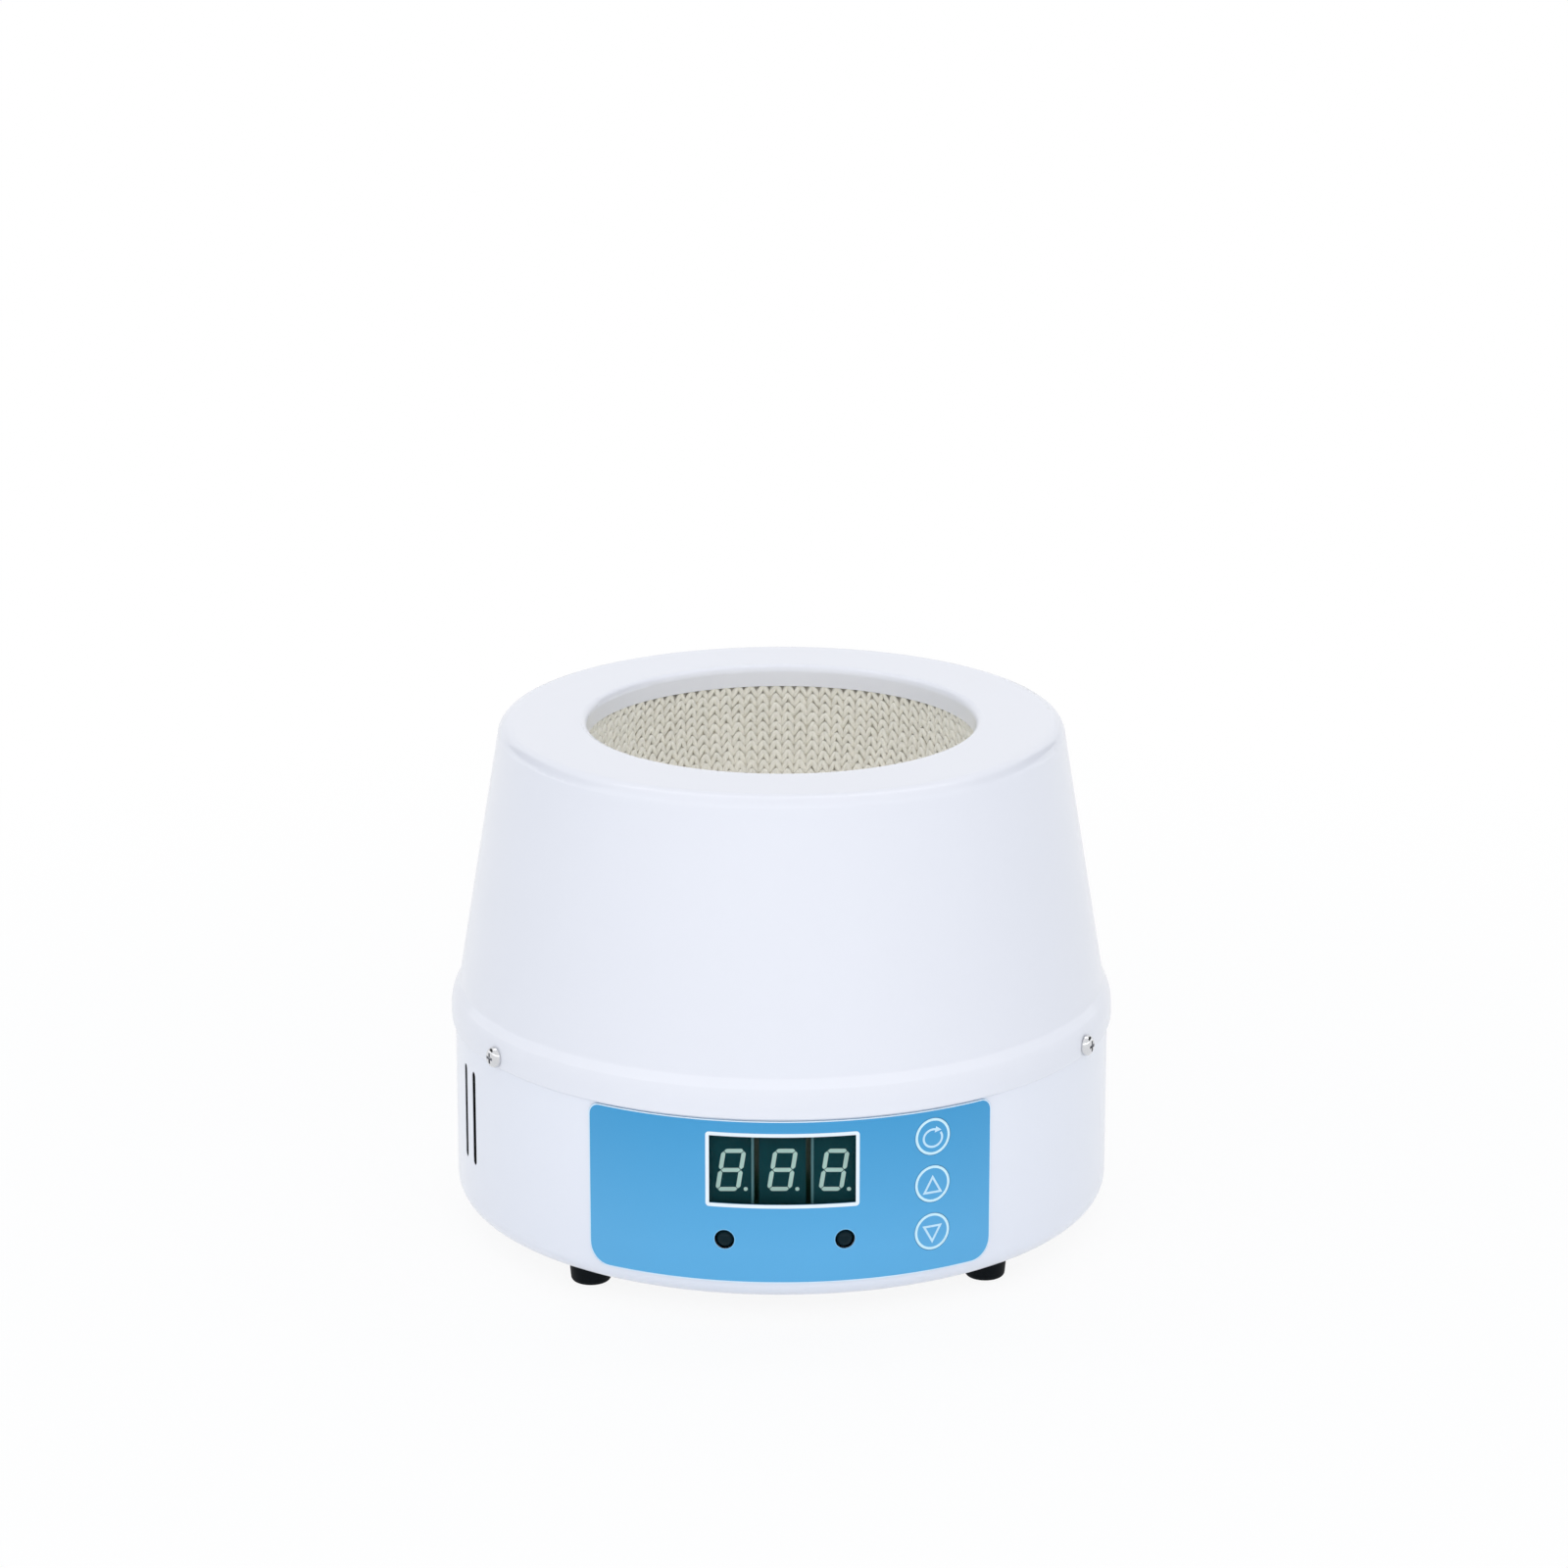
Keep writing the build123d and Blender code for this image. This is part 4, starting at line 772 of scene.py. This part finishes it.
@dataclass(frozen=True)
class DrumPrint:
    """Thin raised print on a round wall, drawn in millimetres round and up from a centre.

    Attributes:
        radius: radius of the wall.
        azimuth: degrees round the axis from the front, positive to the right.
        level: height of the centre.
        rise: how far the print stands off the wall.
        root: how far it reaches into it.
        step: longest straight step.
        mitre: least share to which a sharp corner is narrowed.
    """

    radius: float
    azimuth: float
    level: float
    rise: float = 0.035
    root: float = 0.05
    step: float = 1.2
    mitre: float = 0.35

    def spot(self, point: Point, lift: float) -> Place:
        """Place of a drawn point.

        Args:
            point: its place round and up.
            lift: how far off the wall it stands.

        Returns:
            The place in metres.
        """
        turn = math.radians(self.azimuth) + point[0] / self.radius
        reach = (self.radius + lift) * MM
        return (reach * math.sin(turn), -reach * math.cos(turn), (self.level + point[1]) * MM)

    def divided(self, points: list[Point], closed: bool) -> list[Point]:
        """Put points along the long runs, so that they follow the wall.

        Args:
            points: corners of a line.
            closed: whether the line meets its own start.

        Returns:
            The corners with the points between them.
        """
        ends = points[1:] + points[:1] if closed else points[1:]
        route = []
        for start, end in zip(points, ends):
            pieces = max(1, math.ceil(math.dist(start, end) / self.step))
            route += [
                (start[0] + (end[0] - start[0]) * n / pieces, start[1] + (end[1] - start[1]) * n / pieces)
                for n in range(pieces)
            ]
        return route if closed else route + [points[-1]]

    def stroke(self, mesh: Mesh, points: list[Point], width: float, closed: bool = True) -> None:
        """Draw a line of even width.

        Args:
            mesh: where the line goes.
            points: corners of its middle line.
            width: width of the line.
            closed: whether the line meets its own start.
        """
        route = np.array(self.divided(points, closed))
        before = np.roll(route, 1, axis=0)
        after = np.roll(route, -1, axis=0)
        if not closed:
            before[0] = 2 * route[0] - route[1]
            after[-1] = 2 * route[-1] - route[-2]
        first = (route - before) / np.linalg.norm(route - before, axis=1)[:, None]
        second = (after - route) / np.linalg.norm(after - route, axis=1)[:, None]
        middle = first + second
        middle /= np.linalg.norm(middle, axis=1)[:, None]
        normal = np.stack([-middle[:, 1], middle[:, 0]], axis=1)
        stretch = np.clip((middle * first).sum(axis=1), self.mitre, 1)[:, None]
        left = route + normal * width / 2 / stretch
        right = route - normal * width / 2 / stretch
        corners = []
        for a, b in zip(left.tolist(), right.tolist()):
            corners += [self.spot(a, -self.root), self.spot(a, self.rise)]
            corners += [self.spot(b, self.rise), self.spot(b, -self.root)]
        mesh.join(np.array(corners), bar_faces(len(route), closed))

    def patch(self, mesh: Mesh, points: list[Point]) -> None:
        """Fill a small outline.

        Args:
            mesh: where the patch goes.
            points: corners of the outline.
        """
        corners = [self.spot(p, lift) for lift in (-self.root, self.rise) for p in points]
        mesh.join(np.array(corners), slab_faces(len(points)))


def arc(centre: Point, radii: Point, start: float, end: float, steps: int) -> list[Point]:
    """Points along an oval arc.

    Args:
        centre: its centre.
        radii: half its width and half its height.
        start: first angle in degrees, anticlockwise from the right.
        end: last angle.
        steps: number of steps.

    Returns:
        The points, both ends among them.
    """
    turns = [math.radians(start + (end - start) * n / steps) for n in range(steps + 1)]
    return [(centre[0] + radii[0] * math.cos(t), centre[1] + radii[1] * math.sin(t)) for t in turns]


def rounded(half_width: float, half_height: float, corners: Point) -> list[Point]:
    """Outline of a rectangle about the origin with rounded corners.

    Args:
        half_width: half its width.
        half_height: half its height.
        corners: radii of its lower and its upper corners.

    Returns:
        The points.
    """
    low, high = corners
    points = arc((half_width - high, half_height - high), (high, high), 0, 90, 8)
    points += arc((high - half_width, half_height - high), (high, high), 90, 180, 8)
    points += arc((low - half_width, low - half_height), (low, low), 180, 270, 8)
    points += arc((half_width - low, low - half_height), (low, low), 270, 360, 8)
    return points


# ---------------------------------------------------------------- control panel


class Symbol(Enum):
    """What a key shows."""

    CYCLE = "set_key"
    UP = "up_key"
    DOWN = "down_key"


@dataclass
class Key:
    """One round key of the film, with its ring and symbol.

    Attributes:
        symbol: what it shows, and the name of its solid.
        level: height of its centre.
        azimuth: its place round the drum.
        radius: radius of the film's face.
        ring_radius: middle of its ring.
        ring_width: width of the ring's line.
        line: width of the symbol's line.
    """

    symbol: Symbol
    level: float
    azimuth: float = 24.35
    radius: float = 91.4
    ring_radius: float = 4.78
    ring_width: float = 0.72
    line: float = 0.6

    def build(self) -> None:
        """Make the ring and the symbol."""
        name = self.symbol.value
        body = f"{name}_body"
        wall = DrumPrint(self.radius, self.azimuth, self.level)
        ring = Mesh()
        circle = arc((0, 0), (self.ring_radius, self.ring_radius), 0, 360, 72)[:-1]
        wall.stroke(ring, circle, self.ring_width)
        ring.piece(f"{name}_ring", RING_PRINT, body, "blue_film")
        mark = Mesh()
        if self.symbol is Symbol.CYCLE:
            wall.stroke(mark, arc((0.0, -0.45), (2.75, 2.45), 74, 394, 48), self.line, closed=False)
            wall.patch(mark, [(0.5, 1.05), (2.55, 1.55), (0.95, 2.75)])
        elif self.symbol is Symbol.UP:
            wall.stroke(mark, [(-2.42, -2.4), (2.42, -2.4), (0.0, 1.9)], self.line)
        else:
            wall.stroke(mark, [(-2.42, 1.5), (0.0, -2.75), (2.42, 1.5)], self.line)
        mark.piece(f"{name}_mark", SYMBOL_PRINT, body, "blue_film")


@dataclass
class ControlPanel:
    """Blue film, its print, the digits, the lamps and the keys.

    Attributes:
        radius: radius of the film's face.
        film_box: half the film's width round the drum, its bottom and its top.
        film_corners: radii of its lower and upper corners.
        window_azimuth: place of the window's middle.
        window_level: height of the window's middle.
        window: width and height of the window.
        border: width of the white line round the window.
        lamp_azimuths: places of the lamps.
        lamp_level: height of the lamps.
        lamp_hole: radius of a lamp's hole.
        film_highlight: half the width of the painted highlight along the film's edge.
        hole_line: half the width of the pale cut edge round a lamp's hole.
        module_face: distance of the modules' faces from the axis.
        module_joint: distance of the joints between modules from the middle.
        joint_highlight: half the width and the rise of the painted highlight strip at a joint.
        keys: the keys.
    """

    radius: float = 91.4
    film_box: Place = (57.43, 11.19, 56.91)
    film_corners: Point = (6.0, 3.2)
    window_azimuth: float = -1.6
    window_level: float = 42.93
    window: Point = (39.2, 19.0)
    border: float = 1.0
    lamp_azimuths: Point = (-11.32, 8.89)
    lamp_level: float = 23.23
    lamp_hole: float = 2.7
    film_highlight: float = 0.16
    hole_line: float = 0.12
    module_face: float = 87.0
    module_joint: float = 7.92
    joint_highlight: Point = (0.36, 0.12)
    keys: tuple[Key, ...] = field(
        default_factory=lambda: (Key(Symbol.CYCLE, 49.33), Key(Symbol.UP, 35.93), Key(Symbol.DOWN, 22.39))
    )

    def print_window(self) -> None:
        """White line round the display's window."""
        wall = DrumPrint(self.radius, self.window_azimuth, self.window_level)
        half_wide = (self.window[0] + self.border) / 2
        half_high = (self.window[1] + self.border) / 2
        frame_line = Mesh()
        wall.stroke(frame_line, rounded(half_wide, half_high, (0.5, 0.5)), self.border)
        frame_line.piece("window_border", WHITE_PRINT, "housing", "blue_film")

    def print_edges(self) -> None:
        """Painted highlight along the film's edge, and pale cut edges round its lamp holes."""
        half_wide, low, high = self.film_box
        edge = Mesh()
        inset = self.film_highlight
        outline = rounded(half_wide - inset, (high - low) / 2 - inset, self.film_corners)
        DrumPrint(self.radius, 0.0, (low + high) / 2).stroke(edge, outline, 2 * inset)
        edge.piece("film_edge_highlights", FILM_HIGHLIGHT, "housing", "blue_film")
        rims = Mesh()
        reach = self.lamp_hole + self.hole_line
        hole = arc((0, 0), (reach, reach), 0, 360, 48)[:-1]
        for azimuth in self.lamp_azimuths:
            DrumPrint(self.radius, azimuth, self.lamp_level).stroke(rims, hole, 2 * self.hole_line)
        rims.piece("lamp_hole_edges", HOLE_EDGE, "housing", "blue_film")

    def highlight_module_edges(self) -> None:
        """Painted highlight: light strips on the upright edges of the digit modules on both sides of the
        middle one.
        """
        low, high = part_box("digit_middle")
        turn = math.radians(self.window_azimuth)
        along = np.array([math.cos(turn), math.sin(turn)])
        forward = np.array([math.sin(turn), -math.cos(turn)])
        half, rise = self.joint_highlight
        inset = 0.1
        levels = (low.z / MM + inset, high.z / MM - inset)
        mesh = Mesh()
        for across in (-self.module_joint, self.module_joint):
            centre = along * across + forward * self.module_face
            side, out = along * half, forward * rise
            corners = [centre - side, centre - side / 2 + out, centre + side / 2 + out, centre + side]
            points = [(c[0] * MM, c[1] * MM, z * MM) for z in levels for c in corners]
            mesh.join(np.array(points), slab_faces(len(corners)))
        mesh.piece("module_highlights", MODULE_HIGHLIGHT, "housing", "dark_module")

    def dress(self) -> None:
        """Finish the film, the keys, the display and the boards behind them."""
        dress(FILM, "panel_film")
        dress(KEY_FILM, "set_key", "up_key", "down_key")
        dress(CLEAR_FILM, "display_lens")
        dress(MODULE, "digit_left", "digit_middle", "digit_right")
        dress(SEGMENT, "digit_segments")
        dress(LAMP, "lamp_left", "lamp_right")
        dress(BOARD, "display_board", "key_board", "power_board")
        dress(BLACK_RESIN, "key_switches", "board_chip", "board_connectors", "triac")
        dress(ZINC, "panel_bracket")
        dress(BRIGHT_STEEL, "board_screws", "board_spacers", "bracket_rivets")
        dress(TIN, "lamp_leads")

    def build(self) -> None:
        """Make the print, with the painted highlight along the film's edge, and the painted highlights on
        the modules' edges.
        """
        self.print_window()
        self.print_edges()
        self.highlight_module_edges()
        for key in self.keys:
            key.build()


# ---------------------------------------------------------------- power entry


@dataclass
class PowerEntry:
    """Appliance inlet, its fuse, the power switch and the parts that they feed.

    Attributes:
        pivot: the rocker's pivot.
        tilt: the rocker's tilt at rest, in degrees.
        mark_reach: distance of a mark's middle from the pivot's plane, along the rocker.
        mark_rise: height of the rocker's face there.
        slope: slope of the face, in degrees.
        bar: half the width and half the height of the bar mark.
        ring: radius of the ring mark's middle.
        ring_half: half the width of its line.
        mark_ends: how deep a mark reaches into the face and how far it stands off.
    """

    pivot: Place = (17.5, 87.6, 33.13)
    tilt: float = 10.0
    mark_reach: float = 4.0
    mark_rise: float = 2.412
    slope: float = 10.098
    bar: Point = (0.28, 1.35)
    ring: float = 1.15
    ring_half: float = 0.24
    mark_ends: Point = (-0.05, 0.04)

    def spot(self, point: Place, upper: bool) -> Place:
        """Place of a point drawn on one face of the rocker.

        Args:
            point: across, up and off the face.
            upper: whether it is the upper face.

        Returns:
            The place in metres.
        """
        sign = 1 if upper else -1
        lean = math.radians(self.slope) * sign
        up = self.mark_reach * sign + point[1] * math.cos(lean) - point[2] * math.sin(lean)
        out = self.mark_rise + point[1] * math.sin(lean) + point[2] * math.cos(lean)
        turn = math.radians(self.tilt)
        height = up * math.cos(turn) + out * math.sin(turn)
        reach = out * math.cos(turn) - up * math.sin(turn)
        return (
            (self.pivot[0] - point[0]) * MM,
            (self.pivot[1] + reach) * MM,
            (self.pivot[2] + height) * MM,
        )

    def build(self) -> None:
        """Make the bar and ring marks of the rocker."""
        low, high = self.mark_ends
        mesh = Mesh()
        wide, tall = self.bar
        outline = [(-wide, -tall), (wide, -tall), (wide, tall), (-wide, tall)]
        corners = [self.spot((x, y, off), False) for off in (low, high) for x, y in outline]
        mesh.join(np.array(corners), slab_faces(len(outline)))
        inner, outer = self.ring - self.ring_half, self.ring + self.ring_half
        circle = arc((0, 0), (1, 1), 0, 360, 40)[:-1]
        section = ((inner, low), (inner, high), (outer, high), (outer, low))
        corners = [self.spot((x * r, y * r, off), True) for x, y in circle for r, off in section]
        mesh.join(np.array(corners), bar_faces(len(circle), closed=True))
        mesh.piece("rocker_marks", WHITE_MARK, "rocker_body", "black_gloss")

    def dress(self) -> None:
        """Finish the inlet, the switch and what is wired behind them."""
        dress(BLACK_RESIN, "power_inlet", "fuse_drawer", "switch_frame")
        dress(BLACK_GLOSS, "power_rocker")
        dress(TIN, "inlet_blades", "switch_tabs")
        dress(FUSE_GLASS, "fuse")
        dress(CORE_IRON, "transformer_core")
        dress(TAPE, "transformer_coil")
        dress(ALUMINIUM, "heat_sink")
        dress(SHRINK, "filter_capacitor")
        dress(STEATITE, "terminal_block")
        dress(WIRE, "mains_leads", "sensor_lead")
        dress(EARTH_WIRE, "earth_lead")
        dress(RIBBON, "ribbon_cable")


# ---------------------------------------------------------------- studio


@dataclass(frozen=True)
class Lamp:
    """A soft oblong lamp that looks at the middle of the part.

    Attributes:
        name: its name.
        place: where it stands, in metres.
        size: its width and height, in metres.
        power: its power in watts.
        shows: whether gloss shows it.
    """

    name: str
    place: Place
    size: Point
    power: float
    shows: bool = False

    def build(self, target: Place) -> None:
        """Stand the lamp.

        Args:
            target: what it is turned to, in metres.
        """
        data = bpy.data.lights.new(self.name, "AREA")
        data.shape = "RECTANGLE"
        data.size, data.size_y = self.size
        data.energy = self.power
        lamp = stand(self.name, data)
        lamp.location = self.place
        lamp.visible_glossy = self.shows
        away = np.array(target) - np.array(self.place)
        flat = math.hypot(away[0], away[1])
        lamp.rotation_euler = (math.atan2(flat, -away[2]), 0, math.atan2(-away[0], away[1]))


@dataclass
class Studio:
    """Camera, lamps, backdrop and floor.

    Attributes:
        camera_place: where the camera stands, in metres.
        pitch: how far it looks down, in degrees.
        heading: which way it looks, in degrees to the right of straight back.
        lens: focal length on a 36 mm frame.
        horizon: strength of the light from the horizon.
        zenith: its strength from straight above.
        side_share: share of it that is left at the two sides.
        sky_color: its colour.
        side_color: its colour at the two sides.
        middle: height of the part's middle, where lamps look.
        floor_side: side of the floor.
        floor_color: its colour in linear light.
        floor_white: distances from which and at which the floor turns white.
        shade: share of the floor's own shade that shows.
        card_distance: how far out the black cards stand.
        card_reach: their front end, rear end and top.
        card_low: their lower edge.
        hoop_radius: reach of the bright hoop from the part's middle, in metres.
        hoop_half: half its width in degrees, at the front and at its ends.
        hoop_glow: its strength at the front and at its ends.
        hoop: its places to one side, in degrees round from the front and up.
        lamps: the soft lamps.
    """

    camera_place: Place = (-0.0437, -1.4149, 0.5426)
    pitch: float = 16.525
    heading: float = 1.798
    lens: float = 122.65
    horizon: float = 0.92
    zenith: float = 0.8
    side_share: float = 0.45
    sky_color: Triple = (250, 251, 255)
    side_color: Triple = (226, 240, 255)
    middle: float = 0.07
    floor_side: float = 12.0
    floor_color: tuple[float, ...] = (0.92, 0.93, 0.94, 1.0)
    floor_white: Point = (0.15, 0.5)
    shade: float = 0.1
    card_distance: float = 0.7
    card_reach: Place = (-0.1, 0.9, 0.8)
    card_low: float = 0.3
    hoop_radius: float = 1.3
    hoop_half: Point = (3.5, 2.0)
    hoop_glow: Point = (3.0, 1.5)
    hoop: tuple[Point, ...] = (
        (0, 28.8), (22, 27.8), (42, 25.5), (62, 21.8), (80, 17.2), (98, 11.9), (116, 5.8), (133, -0.8),
    )
    lamps: tuple[Lamp, ...] = (
        Lamp("front_lamp", (0.0, -1.3, 1.0), (3.2, 0.35), 4.4),
        Lamp("low_lamp", (0.0, -1.2, 0.15), (1.8, 0.3), 1.8),
        Lamp("left_lamp", (-1.5, -0.3, 0.95), (1.6, 0.35), 2.0),
        Lamp("right_lamp", (1.5, -0.3, 0.95), (1.6, 0.35), 1.3),
        Lamp("top_lamp", (0.0, 0.4, 1.5), (1.8, 0.12), 3.6, shows=True),
    )

    def build_camera(self) -> None:
        """Stand the camera."""
        data = bpy.data.cameras.new("camera")
        data.sensor_width = 36.0
        data.lens = self.lens
        data.clip_end = 40.0
        camera = stand("camera", data)
        camera.location = self.camera_place
        camera.rotation_euler = (math.radians(90 - self.pitch), 0, -math.radians(self.heading))
        bpy.context.scene.camera = camera

    def build_world(self) -> None:
        """Light from all round, with a plain white backdrop where it is looked at."""
        world = bpy.data.worlds.new("studio")
        bpy.context.scene.world = world
        world.use_nodes = True
        graph = Graph(world.node_tree)
        way = graph.axes(graph.add("ShaderNodeTexCoord").outputs["Generated"])
        side = graph.combine("POWER", way[0], 2.0)
        rise = graph.span(way[2], (0.0, 1.0), (self.horizon, self.zenith))
        share = graph.span(side, (0.0, 1.0), (1.0, self.side_share))
        level = graph.combine("MULTIPLY", rise, share)
        tint = graph.between(side, linear(self.sky_color), linear(self.side_color))
        light = graph.add("ShaderNodeBackground", {0: tint, 1: level}).outputs[0]
        white = graph.add("ShaderNodeBackground", {0: WHITE, 1: 1.0}).outputs[0]
        chosen = graph.add("ShaderNodeMixShader", {0: graph.looked_at(), 1: light, 2: white}).outputs[0]
        graph.add("ShaderNodeOutputWorld", {0: chosen})

    def floor_material(self) -> bpy.types.Material:
        """White floor that keeps a light shadow of what stands on it.

        Returns:
            The material.
        """
        material, graph = blank("studio_floor")
        reach = graph.add("ShaderNodeVectorMath", {0: graph.place()}, operation="LENGTH").outputs[1]
        white_share = graph.span(reach, self.floor_white, (1 - self.shade, 1.0))
        share = graph.combine("MULTIPLY", graph.looked_at(), white_share)
        plain = graph.add("ShaderNodeBsdfDiffuse", {0: self.floor_color}).outputs[0]
        white = graph.add("ShaderNodeEmission", {0: WHITE, 1: 1.0}).outputs[0]
        upper = graph.add("ShaderNodeMixShader", {0: share, 1: plain, 2: white}).outputs[0]
        below = graph.add("ShaderNodeNewGeometry").outputs["Backfacing"]
        clear = graph.add("ShaderNodeBsdfTransparent").outputs[0]
        sided = graph.add("ShaderNodeMixShader", {0: below, 1: upper, 2: clear}).outputs[0]
        graph.add("ShaderNodeOutputMaterial", {0: sided})
        return material

    def build_floor(self) -> None:
        """Lay the floor."""
        half = self.floor_side / 2
        data = bpy.data.meshes.new("floor")
        corners = [(-half, -half, 0), (half, -half, 0), (half, half, 0), (-half, half, 0)]
        data.from_pydata(corners, [], [[0, 1, 2, 3]])
        data.materials.append(self.floor_material())
        stand("floor", data)

    def reflector(self, name: str, corners: list[Place], glow: Point) -> None:
        """Stand a run of panels that only shows as a reflection.

        Args:
            name: its name.
            corners: its corners, a lower and an upper one by turns.
            glow: strength of its light at the front and at the rear, nought for black.
        """
        material, graph = blank(f"studio_{name}")
        depths = [corner[1] for corner in corners]
        fade = graph.span(graph.axes(graph.place())[1], (min(depths), max(depths)), glow)
        light = graph.add("ShaderNodeEmission", {0: WHITE, 1: fade}).outputs[0]
        graph.add("ShaderNodeOutputMaterial", {0: light})
        data = bpy.data.meshes.new(name)
        data.from_pydata(corners, [], [[n, n + 2, n + 3, n + 1] for n in range(0, len(corners) - 2, 2)])
        data.materials.append(material)
        panel = stand(name, data)
        panel.visible_camera = False
        panel.visible_diffuse = False
        panel.visible_shadow = False

    def build_cards(self) -> None:
        """Stand a black card at each side toward the rear, for the bright metal."""
        front, rear, top = self.card_reach
        for name, x in (("card_left", -self.card_distance), ("card_right", self.card_distance)):
            ends = [(x, y, z) for y in (front, rear) for z in (self.card_low, top)]
            self.reflector(name, ends, (0.0, 0.0))

    def build_hoop(self) -> None:
        """Stand a bright hoop round the front, for the line of light along the shoulder."""
        route = [(-turn, rise) for turn, rise in self.hoop[:0:-1]] + list(self.hoop)
        corners = []
        wide, narrow = self.hoop_half
        for turn, rise in route:
            half = wide + (narrow - wide) * abs(turn) / self.hoop[-1][0]
            for side in (-half, half):
                up = math.radians(rise + side)
                level = self.hoop_radius * math.cos(up)
                around = math.radians(turn)
                height = self.hoop_radius * math.sin(up) + self.middle
                corners.append((level * math.sin(around), -level * math.cos(around), height))
        self.reflector("hoop", corners, self.hoop_glow)

    def build(self) -> None:
        """Make the whole studio."""
        bpy.context.scene.view_settings.view_transform = "Standard"
        self.build_camera()
        self.build_world()
        self.build_floor()
        self.build_cards()
        self.build_hoop()
        for lamp in self.lamps:
            lamp.build((0.0, 0.0, self.middle))
        log.info("studio ready")


# ---------------------------------------------------------------- all of it


def main() -> None:
    """Build and dress every sub-assembly in order."""
    logging.basicConfig(level=logging.INFO, format="%(name)s %(message)s")
    Studio().build()
    Housing().dress()
    bowl = HeatingBowl()
    bowl.dress()
    bowl.build()
    panel = ControlPanel()
    panel.dress()
    panel.build()
    power = PowerEntry()
    power.dress()
    power.build()


if __name__ == "__main__":
    main()
